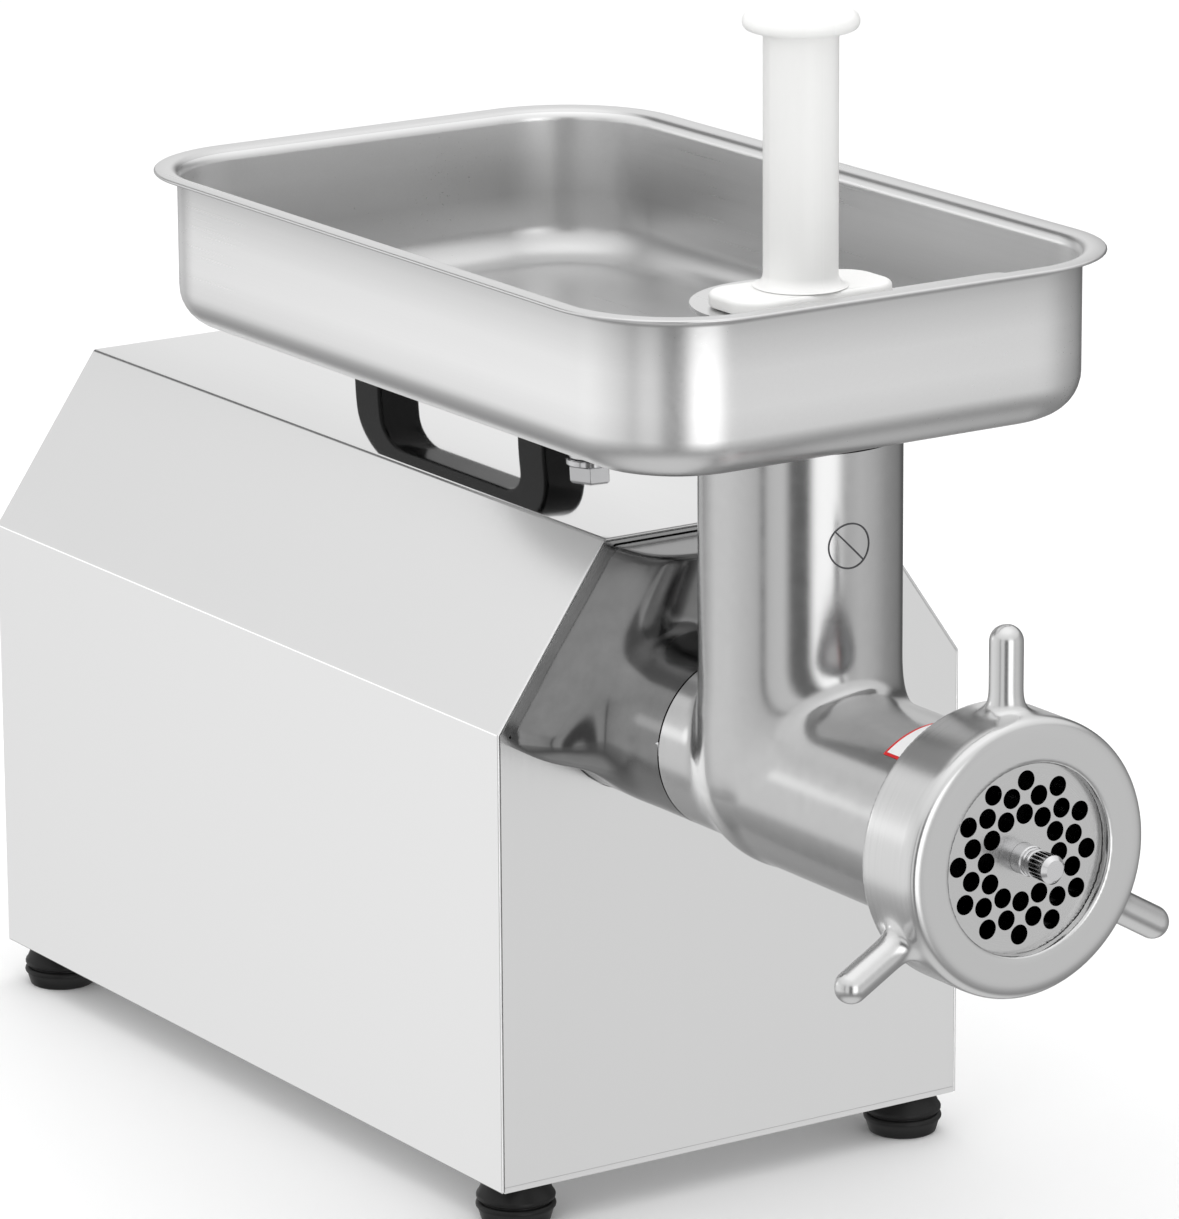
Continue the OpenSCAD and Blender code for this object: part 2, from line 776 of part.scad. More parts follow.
module ring_nut() {
    color(cast) stand() difference() {
        union() {
            bar(axis_x, axis_z, ring_front + 4, ring_rear, ring_r);
            translate([axis_x, ring_front + 4, axis_z]) rotate([90, 0, 0])
                cylinder(h = 4, r1 = ring_r, r2 = ring_r - 3);
            for (a = [90, 210, 330]) translate([axis_x, (ring_front + ring_rear) / 2, axis_z])
                rotate([0, -a, 0]) rotate([0, 90, 0]) {
                    translate([0, 0, ring_r - 3]) cylinder(h = lug_tip - lug_r - ring_r + 3, r = lug_r);
                    translate([0, 0, lug_tip - lug_r]) sphere(lug_r);
                }
        }
        bar(axis_x, axis_z, plate_y - gap, ring_rear + 1, thread_r + 0.4);
        bar(axis_x, axis_z, ring_front - 1, ring_rear, ring_open_r);
    }
}

module lock_knob() {
    color(dark) stand() translate([axis_x, seam_y + 10, axis_z]) rotate([0, 90, 0]) {
        translate([0, 0, spigot_r + gap]) cylinder(h = 16, r = 4 - fit);
        translate([0, 0, neck_r + 3]) cylinder(h = 14, r = 11, $fn = 12);
    }
}

// ---- Tray and pusher ----

module feed_tray() {
    color(steel) stand() difference() {
        union() {
            translate([tray_x, tray_mid, tray_z]) linear_extrude(tray_depth)
                round_rect(tray_w, tray_l, corner_r);
            translate([tray_x, tray_mid, rim_z - wall]) linear_extrude(wall)
                round_rect(tray_w + 2 * rim_w, tray_l + 2 * rim_w, corner_r + rim_w);
            translate([axis_x, throat_y, collar_z]) cylinder(h = tray_z + 1 - collar_z, r = collar_r);
        }
        translate([tray_x, tray_mid, floor_top]) linear_extrude(tray_depth)
            round_rect(tray_w - 2 * wall, tray_l - 2 * wall, corner_r - wall);
        translate([axis_x, throat_y, collar_z - 1]) cylinder(h = tray_depth, r = collar_in);
    }
}

module tray_guard() {
    depth = guard_rear - tray_front_y - wall;
    color(steel) stand() difference() {
        intersection() {
            union() {
                translate([guard_left, tray_front_y + wall, guard_top - guard_t])
                    cube([guard_right - guard_left, depth, guard_t]);
                translate([axis_x, throat_y, guard_top - guard_t])
                    cylinder(h = guard_t, r = guard_disc_r);
                for (x = [guard_left, guard_right - guard_t])
                    translate([x, tray_front_y + wall + 2, floor_top])
                        cube([guard_t, depth - 4, guard_top - floor_top - 1]);
            }
            translate([tray_x, tray_mid, floor_top]) linear_extrude(tray_depth)
                round_rect(tray_w - 2 * wall, tray_l - 2 * wall, corner_r - wall);
        }
        translate([axis_x, throat_y, guard_top - guard_t - 1]) cylinder(h = 5, r = collar_in);
    }
}

module pusher() {
    color("white") stand() translate([axis_x, throat_y, 0]) {
        translate([0, 0, plunger_z]) cylinder(h = plunger_top - plunger_z, r = plunger_r);
        translate([0, 0, plunger_top - 1]) cylinder(h = pusher_top_z - plunger_top - 1, r = pusher_rod_r);
        translate([0, 0, pusher_z]) linear_extrude(pusher_flange_t)
            round_rect(pusher_flange_w, pusher_flange_l, pusher_flange_l / 2 - 4);
        translate([0, 0, pusher_top_z - 6]) cylinder(h = 6, r = pusher_cap_r);
    }
}

body_shell();
front_panel();
rear_panel();
base_plate();
feet();
foot_screws();
rear_screws();
gear_housing();
gearbox_cover();
cover_bolts();
front_bearing();
rear_bearing();
shaft_seal();
output_shaft();
output_gear();
lay_shaft_gear();
lay_bushes();
gearbox_stand();
motor_can();
motor_front_bell();
motor_rear_bell();
stator_core();
stator_winding();
rotor_shaft();
rotor_core();
rotor_bearings();
cooling_fan();
motor_cradle();
run_capacitor();
control_box();
switch_plate();
start_button();
stop_button();
reverse_knob();
power_inlet();
inlet_pins();
carry_handle();
handle_screws();
top_bolt();
top_washers();
head_barrel();
locating_pin();
auger_bush();
auger();
auger_stud();
cross_knife();
cutting_plate();
ring_nut();
lock_knob();
feed_tray();
tray_guard();
pusher();
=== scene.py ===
import contextlib
import math

import bmesh
import bpy
import numpy as np
from mathutils import Matrix, Vector
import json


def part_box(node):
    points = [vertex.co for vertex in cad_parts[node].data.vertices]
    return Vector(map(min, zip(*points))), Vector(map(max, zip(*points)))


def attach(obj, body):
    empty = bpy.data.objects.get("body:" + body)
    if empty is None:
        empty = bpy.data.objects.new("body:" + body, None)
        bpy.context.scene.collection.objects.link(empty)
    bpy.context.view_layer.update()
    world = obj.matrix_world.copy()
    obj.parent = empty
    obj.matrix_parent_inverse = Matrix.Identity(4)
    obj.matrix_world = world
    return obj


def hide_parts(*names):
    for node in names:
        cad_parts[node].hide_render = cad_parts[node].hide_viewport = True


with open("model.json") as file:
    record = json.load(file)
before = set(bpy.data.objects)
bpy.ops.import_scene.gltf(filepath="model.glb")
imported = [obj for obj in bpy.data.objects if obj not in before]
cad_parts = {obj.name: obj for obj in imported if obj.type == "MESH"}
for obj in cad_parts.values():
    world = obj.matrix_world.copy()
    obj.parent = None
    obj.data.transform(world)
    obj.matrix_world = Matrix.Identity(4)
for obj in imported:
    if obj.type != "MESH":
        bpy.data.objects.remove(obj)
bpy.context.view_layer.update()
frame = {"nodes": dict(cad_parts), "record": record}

MM = 0.001


# ---- Places, all taken from the frame ----

def middle(node):
    low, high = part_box(node)
    return (low + high) / 2


shell_low, shell_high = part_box("body_shell")
plate_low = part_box("cutting_plate")[0]
throat_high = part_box("head_barrel")[1]
ring_low, ring_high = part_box("ring_nut")
tray_low, tray_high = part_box("feed_tray")
pusher_low, pusher_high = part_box("pusher")
nose_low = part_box("gear_housing")[0]

MID_X = (shell_low.x + shell_high.x) / 2          # middle plane of the cabinet
FRONT_Y = shell_low.y                             # front face of the cabinet


def mm_x(x):
    """A place across the object in millimetres from the cabinet's middle plane."""
    return (x - MID_X) / MM


def mm_y(y):
    """A place along the object in millimetres from the cabinet's front face."""
    return (y - FRONT_Y) / MM


AXIS_X = mm_x(middle("cutting_plate").x)
AXIS_Z = middle("cutting_plate").z / MM
THROAT_Y = mm_y(middle("pusher").y)
PLATE_Y = mm_y(plate_low.y)
RING_FRONT = mm_y(ring_low.y)
RING_REAR = mm_y(ring_high.y)
HALF_W = (shell_high.x - shell_low.x) / 2 / MM
BODY_L = (shell_high.y - shell_low.y) / MM
BODY_Z = shell_low.z / MM
TOP_Z = shell_high.z / MM
SEAM_Y = mm_y(nose_low.y)


def row(points):
    """Cabinet millimetres to the row frame's metres."""
    p = np.asarray(points, float) * MM
    return p + np.array([MID_X, FRONT_Y, 0.0])


# ---- Mesh helpers ----

@contextlib.contextmanager
def editing(mesh):
    """A bmesh of the mesh, written back at the end of the block."""
    bm = bmesh.new()
    bm.from_mesh(mesh)
    yield bm
    bm.to_mesh(mesh)
    bm.free()


def turn(angle):
    """Cosine and sine of an angle in degrees."""
    return math.cos(math.radians(angle)), math.sin(math.radians(angle))


def smooth(mesh):
    mesh.polygons.foreach_set("use_smooth", [True] * len(mesh.polygons))


def new_object(name, mesh):
    piece = bpy.data.objects.new(name, mesh)
    bpy.context.scene.collection.objects.link(piece)
    return piece


def mesh_from(name, points, faces):
    """A mesh piece from cabinet millimetres."""
    mesh = bpy.data.meshes.new(name)
    mesh.from_pydata([tuple(p) for p in row(points)], [], faces)
    mesh.validate()
    smooth(mesh)
    mesh.update()
    return new_object(name, mesh)


def finish_piece(piece, body, material, replaced=()):
    """Gives a piece its material or list of materials, its body and the nodes it replaces."""
    piece.data.materials.clear()
    for m in material if isinstance(material, list) else [material]:
        piece.data.materials.append(m)
    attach(piece, body)
    if replaced:
        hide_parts(*replaced)


def soften_edges(piece, width, segments=3, angle=30):
    """Rounds a piece's sharp edges and keeps its flat faces flat."""
    bevel = piece.modifiers.new("edges", "BEVEL")
    bevel.width = width * MM
    bevel.segments = segments
    bevel.limit_method = "ANGLE"
    bevel.angle_limit = math.radians(angle)
    bevel.harden_normals = True
    bevel.use_clamp_overlap = True
    smooth(piece.data)


def smooth_by_angle(mesh, angle=35):
    smooth(mesh)
    with editing(mesh) as bm:
        for e in bm.edges:
            e.smooth = len(e.link_faces) == 2 and e.calc_face_angle(0.0) < math.radians(angle)


def arc(cx, cy, r, a0, a1, n):
    """Points on an arc, angles in degrees."""
    return [(cx + r * c, cy + r * s) for c, s in (turn(a0 + (a1 - a0) * i / n) for i in range(n + 1))]


def rounded_path(corners, steps=6):
    """A closed outline from corners (x, y, radius), with each corner rounded."""
    out = []
    count = len(corners)
    for i, (x, y, r) in enumerate(corners):
        p = np.array([x, y], float)
        before = np.array(corners[i - 1][:2], float) - p
        after = np.array(corners[(i + 1) % count][:2], float) - p
        if r <= 0:
            out.append(tuple(p))
            continue
        a = before / np.linalg.norm(before)
        b = after / np.linalg.norm(after)
        half = math.acos(max(-1.0, min(1.0, float(a @ b)))) / 2
        reach = r / math.tan(half)
        centre = p + (a + b) / np.linalg.norm(a + b) * r / math.sin(half)
        start, end = p + a * reach, p + b * reach
        t0 = math.atan2(*(start - centre)[::-1])
        t1 = math.atan2(*(end - centre)[::-1])
        sweep = (t1 - t0 + math.pi) % (2 * math.pi) - math.pi
        for k in range(steps + 1):
            t = t0 + sweep * k / steps
            out.append((centre[0] + r * math.cos(t), centre[1] + r * math.sin(t)))
    return out


def prism(name, outline, start, stop, axis="y"):
    """A flat outline made solid from start to stop along y or x."""
    n = len(outline)
    points = [(u, w, v) if axis == "y" else (w, u, v) for w in (start, stop) for u, v in outline]
    faces = [list(range(n)), list(range(2 * n - 1, n - 1, -1))]
    faces += [[i, i + n, (i + 1) % n + n, (i + 1) % n] for i in range(n)]
    piece = mesh_from(name, points, faces)
    fix_normals(piece.data)
    return piece


def fix_normals(mesh):
    with editing(mesh) as bm:
        bmesh.ops.recalc_face_normals(bm, faces=bm.faces)


def lathe(name, profile, centre, axis="z", segments=96, closed=False):
    """Turns a profile of (radius, height) points about a line through centre along z, y or x."""
    points, faces = [], []
    n = len(profile)
    for s in range(segments):
        a = 2 * math.pi * s / segments
        c, d = math.cos(a), math.sin(a)
        for r, h in profile:
            away = {"z": (r * c, r * d, h), "y": (r * c, h, r * d), "x": (h, r * c, r * d)}[axis]
            points.append([a + b for a, b in zip(centre, away)])
    last = n if closed else n - 1
    for s in range(segments):
        t = (s + 1) % segments
        for i in range(last):
            j = (i + 1) % n
            faces.append([s * n + i, s * n + j, t * n + j, t * n + i])
    piece = mesh_from(name, points, faces)
    with editing(piece.data) as bm:
        bmesh.ops.remove_doubles(bm, verts=bm.verts, dist=1e-7)
        empty = [f for f in bm.faces if f.calc_area() < 1e-13]
        bmesh.ops.delete(bm, geom=empty, context="FACES_ONLY")
        bmesh.ops.recalc_face_normals(bm, faces=bm.faces)
    smooth_by_angle(piece.data)
    return piece


def bands(rows, n, first=0):
    """Quads between each closed row of n points and the next."""
    return [[first + i * n + k, first + i * n + (k + 1) % n, first + (i + 1) * n + (k + 1) % n,
             first + (i + 1) * n + k] for i in range(rows - 1) for k in range(n)]


def skin(name, loops):
    """A closed piece through loops of equal length, capped flat at both ends."""
    n = len(loops[0])
    points = [p for loop in loops for p in loop]
    faces = [list(range(n))[::-1], list(range(len(points) - n, len(points)))] + bands(len(loops), n)
    piece = mesh_from(name, points, faces)
    fix_normals(piece.data)
    smooth_by_angle(piece.data)
    return piece


# ---- Smooth castings as implicit surfaces ----

def smin(a, b, k):
    """The smaller of two distances, blended over k millimetres."""
    h = np.maximum(k - np.abs(a - b), 0) / k
    return np.minimum(a, b) - h * h * h * k / 6


def smax(a, b, k):
    return -smin(-a, -b, k)


def gradient(field, p, eps=0.01):
    g = np.empty_like(p)
    for i in range(3):
        d = np.zeros(3)
        d[i] = eps
        hi, lo = p + d, p - d
        g[:, i] = (field(*hi.T) - field(*lo.T)) / (2 * eps)
    return g


def implicit_piece(name, field, low, high, step, cuts=()):
    """The surface where field is 0, in cabinet millimetres, cut flat at each (point, outward normal)."""
    axes = [np.arange(low[i] - 1.5 * step, high[i] + 2.5 * step, step) for i in range(3)]
    grid = np.meshgrid(*axes, indexing="ij")
    f = field(*grid)
    nx, ny, nz = f.shape
    total = np.zeros((nx - 1, ny - 1, nz - 1, 3))
    hits = np.zeros((nx - 1, ny - 1, nz - 1))
    quads = []
    inside = f < 0
    crossings = []
    for axis in range(3):
        near = [slice(None)] * 3
        far = [slice(None)] * 3
        near[axis], far[axis] = slice(0, -1), slice(1, None)
        fa, fb = f[tuple(near)], f[tuple(far)]
        cross = inside[tuple(near)] != inside[tuple(far)]
        i, j, k = np.nonzero(cross)
        t = fa[i, j, k] / (fa[i, j, k] - fb[i, j, k])
        at = np.stack([axes[0][i], axes[1][j], axes[2][k]], 1)
        at[:, axis] += t * step
        u, v = (axis + 1) % 3, (axis + 2) % 3
        cells = []
        for du, dv in ((-1, -1), (0, -1), (0, 0), (-1, 0)):
            c = np.stack([i, j, k], 1)
            c[:, u] += du
            c[:, v] += dv
            cells.append(c)
            ok = np.all((c >= 0) & (c < np.array(total.shape[:3])), 1)
            np.add.at(total, tuple(c[ok].T), at[ok])
            np.add.at(hits, tuple(c[ok].T), 1)
        crossings.append((cells, inside[tuple(near)][i, j, k]))
    index = -np.ones(hits.shape, int)
    used = hits > 0
    index[used] = np.arange(used.sum())
    p = total[used] / hits[used][:, None]
    for _ in range(4):
        g = gradient(field, p)
        p = p - g * (field(*p.T) / np.maximum((g * g).sum(1), 1e-6))[:, None]
    shape = np.array(hits.shape)
    for cells, first_inside in crossings:
        kept = np.all([np.all((c >= 0) & (c < shape), 1) for c in cells], 0)
        q = np.stack([index[tuple(c[kept].T)] for c in cells], 1)
        q[~first_inside[kept]] = q[~first_inside[kept]][:, ::-1]
        quads.append(q)
    faces = np.concatenate(quads)
    mesh = bpy.data.meshes.new(name)
    mesh.from_pydata([tuple(v) for v in row(p)], [], faces.tolist())
    with editing(mesh) as bm:
        for point, normal in cuts:
            at, facing = Vector(row(point)), Vector(normal)
            geom = list(bm.verts) + list(bm.edges) + list(bm.faces)
            bmesh.ops.bisect_plane(bm, geom=geom, plane_co=at, plane_no=facing, clear_outer=True, dist=1e-7)
            rim = [e for e in bm.edges if e.is_boundary
                   and all(abs((v.co - at).dot(facing)) < 1e-6 for v in e.verts)]
            bmesh.ops.triangle_fill(bm, edges=rim, use_beauty=True)
        bmesh.ops.recalc_face_normals(bm, faces=bm.faces)
    piece = new_object(name, mesh)
    exact_normals(mesh, field)
    return piece


def exact_normals(mesh, field):
    """Shades a mesh with the field's own normals; faces that a cut made stay flat."""
    smooth(mesh)
    n = len(mesh.vertices)
    co = np.empty(n * 3)
    mesh.vertices.foreach_get("co", co)
    p = (co.reshape(-1, 3) - np.array([MID_X, FRONT_Y, 0.0])) / MM
    g = gradient(field, p)
    g /= np.maximum(np.linalg.norm(g, axis=1), 1e-9)[:, None]
    loops = np.empty(len(mesh.loops), np.int32)
    mesh.loops.foreach_get("vertex_index", loops)
    face_of = np.repeat(np.arange(len(mesh.polygons)), [f.loop_total for f in mesh.polygons])
    flat = np.array([tuple(f.normal) for f in mesh.polygons])[face_of]
    wanted = g[loops]
    far = (wanted * flat).sum(1) < 0.8
    wanted[far] = flat[far]
    mesh.normals_split_custom_set([tuple(v) for v in wanted])


# ---- Materials ----

def node_material(name):
    material = bpy.data.materials.new(name)
    material.use_nodes = True
    tree = material.node_tree
    return material, tree, tree.nodes["Principled BSDF"]


def add(tree, kind, **inputs):
    node = tree.nodes.new(kind)
    for key, value in inputs.items():
        if key == "operation":
            node.operation = value
        else:
            node.inputs[key.replace("_", " ")].default_value = value
    return node


def arithmetic(tree, kind, *values):
    """A maths node; each value is a socket or a number."""
    node = add(tree, "ShaderNodeMath", operation=kind)
    for socket, value in zip(node.inputs, values):
        if isinstance(value, (int, float)):
            socket.default_value = value
        else:
            tree.links.new(value, socket)
    return node.outputs[0]


def object_coords(tree):
    return tree.nodes.new("ShaderNodeTexCoord").outputs["Object"]


def components(tree, vector):
    """The x, y and z of a vector socket."""
    split = tree.nodes.new("ShaderNodeSeparateXYZ")
    tree.links.new(vector, split.inputs[0])
    return split.outputs


def stretched(tree, stretch):
    """Coordinates in the row frame, stretched so that noise turns into grain."""
    mapping = add(tree, "ShaderNodeMapping", Scale=stretch)
    tree.links.new(object_coords(tree), mapping.inputs["Vector"])
    return mapping.outputs["Vector"]


def turned_coords(tree, centre, axis, across, along):
    """Coordinates that run round an axis, so that noise turns into lathe rings."""
    shift = add(tree, "ShaderNodeVectorMath", operation="SUBTRACT")
    shift.inputs[1].default_value = centre
    tree.links.new(object_coords(tree), shift.inputs[0])
    parts = components(tree, shift.outputs[0])
    squares = [arithmetic(tree, "MULTIPLY", parts[i], parts[i]) for i in range(3) if i != axis]
    radius = arithmetic(tree, "SQRT", arithmetic(tree, "ADD", *squares))
    join = tree.nodes.new("ShaderNodeCombineXYZ")
    tree.links.new(arithmetic(tree, "MULTIPLY", radius, across), join.inputs[0])
    tree.links.new(arithmetic(tree, "MULTIPLY", parts[axis], along), join.inputs[1])
    return join.outputs[0]


def ramp(tree, source, low, high, from_low=0.3, from_high=0.7):
    node = tree.nodes.new("ShaderNodeMapRange")
    node.inputs["From Min"].default_value = from_low
    node.inputs["From Max"].default_value = from_high
    node.inputs["To Min"].default_value = low
    node.inputs["To Max"].default_value = high
    tree.links.new(source, node.inputs["Value"])
    return node.outputs["Result"]


def mixed(tree, factor, first, second):
    """Blends two colours; each argument is a socket or a constant."""
    node = tree.nodes.new("ShaderNodeMix")
    node.data_type = "RGBA"
    colour_sockets = [s for s in node.inputs if s.type == "RGBA"]
    for socket, value in zip([node.inputs[0]] + colour_sockets, (factor, first, second)):
        if isinstance(value, bpy.types.NodeSocket):
            tree.links.new(value, socket)
        else:
            socket.default_value = value
    return next(s for s in node.outputs if s.type == "RGBA")


def tint(tree, source, base, spread):
    """The base colour, a little darker and lighter as the source varies."""
    node = tree.nodes.new("ShaderNodeValToRGB")
    dark, light = node.color_ramp.elements
    dark.position, light.position = 0.3, 0.7
    dark.color = (*(max(0.0, c - spread) for c in base), 1)
    light.color = (*(min(1.0, c + spread) for c in base), 1)
    tree.links.new(source, node.inputs["Fac"])
    return node.outputs["Color"]


def roughen(tree, shader, noise, strength, depth):
    """Bumps a surface by a noise; depth is in millimetres."""
    bump = tree.nodes.new("ShaderNodeBump")
    bump.inputs["Strength"].default_value = strength
    bump.inputs["Distance"].default_value = depth * MM
    tree.links.new(noise.outputs["Fac"], bump.inputs["Height"])
    tree.links.new(bump.outputs["Normal"], shader.inputs["Normal"])


def metal(name, base, rough, vector, spread=0.03, rough_spread=0.05, bump=0.0, blotch=12.0):
    """A metal whose grain follows vector(tree), with slow patches of wear over it."""
    material, tree, shader = node_material(name)
    shader.inputs["Metallic"].default_value = 1.0
    grain = add(tree, "ShaderNodeTexNoise", Scale=1.0, Detail=4.0, Roughness=0.6)
    tree.links.new(vector(tree), grain.inputs["Vector"])
    patches = add(tree, "ShaderNodeTexNoise", Scale=blotch, Detail=3.0, Roughness=0.5)
    tree.links.new(object_coords(tree), patches.inputs["Vector"])
    fine_share = arithmetic(tree, "MULTIPLY", grain.outputs["Fac"], 0.65)
    wear = arithmetic(tree, "MULTIPLY_ADD", patches.outputs["Fac"], 0.35, fine_share)
    tree.links.new(tint(tree, wear, base, spread), shader.inputs["Base Color"])
    tree.links.new(ramp(tree, wear, rough - rough_spread, rough + rough_spread), shader.inputs["Roughness"])
    if bump:
        roughen(tree, shader, grain, bump, 0.05)
    return material


def shade_by_height(material, stops):
    """Paints light and shade into a metal's base colour by height: stops are (height in mm, factor), lowest
    first.
    """
    tree = material.node_tree
    shader = tree.nodes["Principled BSDF"]
    colour = shader.inputs["Base Color"].links[0].from_socket
    low, high = stops[0][0] * MM, stops[-1][0] * MM
    level = ramp(tree, components(tree, object_coords(tree))["Z"], 0.0, 1.0, low, high)
    tones = tree.nodes.new("ShaderNodeValToRGB")
    fill_ramp(tones, [((z * MM - low) / (high - low), f) for z, f in stops])
    tree.links.new(level, tones.inputs["Fac"])
    product = add(tree, "ShaderNodeVectorMath", operation="MULTIPLY")
    tree.links.new(colour, product.inputs[0])
    tree.links.new(tones.outputs["Color"], product.inputs[1])
    tree.links.new(product.outputs[0], shader.inputs["Base Color"])


def paint_bore_shade(material, axis):
    """Painted shade: gives the walls of holes that run along an axis a near-black base colour, standing in
    for the shade inside the bores.
    """
    tree = material.node_tree
    shader = tree.nodes["Principled BSDF"]
    colour = shader.inputs["Base Color"].links[0].from_socket
    normal = components(tree, tree.nodes.new("ShaderNodeNewGeometry").outputs["Normal"])
    facing = ramp(tree, arithmetic(tree, "ABSOLUTE", normal[axis]), 0.0, 1.0, 0.3, 0.6)
    dark = mixed(tree, facing, (0.012, 0.012, 0.012, 1), colour)
    tree.links.new(dark, shader.inputs["Base Color"])


def fill_ramp(node, stops):
    """Puts grey stops (place, value) on a colour ramp."""
    elements = node.color_ramp.elements
    while len(elements) > 1:
        elements.remove(elements[-1])
    for i, (place, value) in enumerate(stops):
        element = elements[0] if i == 0 else elements.new(place)
        element.position = place
        element.color = (value, value, value, 1)


def plastic(name, base, rough, spread=0.01, bump=0.15, scale=900.0, coat=0.0, specular=0.5):
    """Moulded plastic or rubber: a fine skin texture and slight changes of gloss."""
    material, tree, shader = node_material(name)
    texture = add(tree, "ShaderNodeTexNoise", Scale=scale, Detail=3.0, Roughness=0.6)
    slow = add(tree, "ShaderNodeTexNoise", Scale=30.0, Detail=2.0, Roughness=0.5)
    for noise in (texture, slow):
        tree.links.new(object_coords(tree), noise.inputs["Vector"])
    tree.links.new(tint(tree, slow.outputs["Fac"], base, spread), shader.inputs["Base Color"])
    tree.links.new(ramp(tree, slow.outputs["Fac"], rough * 0.85, rough * 1.15), shader.inputs["Roughness"])
    shader.inputs["Coat Weight"].default_value = coat
    shader.inputs["Specular IOR Level"].default_value = specular
    roughen(tree, shader, texture, bump, 0.03)
    return material


def grain_of(*stretch):
    """Grain with this many waves per metre along x, y and z, for metal()."""
    return lambda tree: stretched(tree, stretch)


def ring_grain(tree):
    """Lathe marks round the screw's axis."""
    return turned_coords(tree, tuple(middle("cutting_plate")), 1, 2500.0, 900.0)


upright_grain, long_grain, cast_grain = grain_of(900, 900, 6), grain_of(900, 8, 900), grain_of(160, 160, 160)

CABINET = metal("cabinet_side_steel", (0.89, 0.89, 0.89), 0.22, upright_grain, 0.012, 0.03, 0.02)
# Painted highlight: the cabinet's front and rear rim bevels get a lighter, rougher copy of the cabinet steel
# so that the corners read as bright lines.
EDGE_HIGHLIGHT = metal("edge_highlight_steel", (0.97, 0.97, 0.97), 0.5, upright_grain, 0.01, 0.05)
CABINET_TOP = metal("cabinet_top_steel", (0.84, 0.84, 0.84), 0.035, long_grain, 0.01, 0.015)
TRAY = metal("tray_satin_steel", (0.97, 0.97, 0.97), 0.30, long_grain, 0.015, 0.04, 0.02)
# Painted shade: the inside of the pan and the guard use a darker copy of the tray steel, standing in for the
# shade inside the pan.
TRAY_IN = metal("tray_inner_steel", (0.84, 0.84, 0.84), 0.30, long_grain, 0.015, 0.04)
# Painted reflection: the nose is the same polished casting as the head, given a far darker base colour that
# stands in for the dark reflections it shows.
NOSE_CASTING = metal("shaded_casting", (0.22, 0.22, 0.22), 0.15, cast_grain, 0.02, 0.03, 0.02)
# Painted shade and reflection: the tray's outside is darker at the bottom bend and towards the rim and
# lighter on the wall between; the inside is darker low down and lighter towards the rim.
shade_by_height(TRAY, [(295, 0.70), (301, 0.72), (309, 0.90), (318, 0.99), (330, 0.96), (341, 0.80),
                       (347, 0.66), (348.5, 0.66), (350, 0.78)])
shade_by_height(TRAY_IN, [(296, 0.80), (306, 0.80), (320, 0.72), (336, 0.95), (349, 1.0)])
CASTING = metal("polished_casting", (0.56, 0.56, 0.56), 0.18, cast_grain, 0.02, 0.04, 0.02)
RING = metal("turned_ring_steel", (0.70, 0.70, 0.70), 0.22, ring_grain, 0.03, 0.05, 0.06)
PLATE = metal("ground_plate_steel", (0.68, 0.68, 0.68), 0.24, ring_grain, 0.03, 0.05, 0.05)
DRIVE = metal("machined_steel", (0.55, 0.56, 0.57), 0.30, ring_grain, 0.03, 0.06, 0.08)
BRIGHT = metal("bright_screw_steel", (0.72, 0.72, 0.73), 0.12, cast_grain, 0.03, 0.04)
BRONZE = metal("bearing_bronze", (0.55, 0.38, 0.20), 0.30, ring_grain, 0.04, 0.06, 0.05)
IRON = metal("laminated_iron", (0.25, 0.26, 0.28), 0.45, grain_of(4, 2000, 4), 0.05, 0.08, 0.3)
COPPER = metal("enamelled_copper", (0.62, 0.28, 0.12), 0.28, grain_of(1500, 40, 1500), 0.08, 0.05, 0.4)
PAINT = plastic("grey_motor_paint", (0.26, 0.28, 0.30), 0.42, 0.02, 0.3, 500.0, 0.2)
WHITE = plastic("white_food_plastic", (0.86, 0.86, 0.85), 0.36, 0.006, 0.1, 700.0)
BLACK = plastic("black_gloss_plastic", (0.004, 0.004, 0.004), 0.20, 0.001, 0.08, 900.0, specular=0.18)
BOX = plastic("dark_box_plastic", (0.05, 0.05, 0.055), 0.5, 0.01)
RUBBER = plastic("black_rubber", (0.009, 0.009, 0.009), 0.38, 0.003, 0.4, 1400.0, specular=0.25)
GREEN = plastic("green_button", (0.01, 0.30, 0.06), 0.25, 0.01, 0.1, 900.0, 0.3)
INK = plastic("dark_print", (0.05, 0.05, 0.055), 0.4, 0.01, 0.05, 900.0)
RED_INK = plastic("red_print", (0.60, 0.012, 0.015), 0.35, 0.01, 0.05, 900.0)
LABEL = plastic("white_label", (0.80, 0.80, 0.80), 0.4, 0.01, 0.05, 900.0)
RED = plastic("red_button", (0.55, 0.01, 0.01), 0.25, 0.01, 0.1, 900.0, 0.3)
# Painted shade: the cutting plate's hole walls are coloured near black for the shade inside the holes.
paint_bore_shade(PLATE, 1)

SLOT_MATERIALS = {
    "cabinet_steel": CABINET, "tray_steel": TRAY, "head_steel": CASTING, "ring_steel": RING,
    "plate_steel": PLATE, "gearbox_metal": CASTING, "drive_steel": DRIVE, "screw_steel": BRIGHT,
    "bronze": BRONZE, "motor_paint": PAINT, "core_iron": IRON, "winding_copper": COPPER,
    "capacitor_can": BRIGHT, "black_plastic": BLACK, "box_plastic": BOX, "black_rubber": RUBBER,
    "green_plastic": GREEN, "red_plastic": RED, "white_plastic": WHITE,
}


def dress_cad_nodes():
    """Gives every carried-over CAD node the material of its slot."""
    for part in frame["record"]["subparts"]:
        node = frame["nodes"][part["node"]]
        node.data.materials.clear()
        node.data.materials.append(SLOT_MATERIALS[part["material_slot"]])


# ---- Cabinet ----

SHEET = 1.2
BEND_R = 2.0
SHOULDER_Z = 178.0
HALF_TOP = 52.5


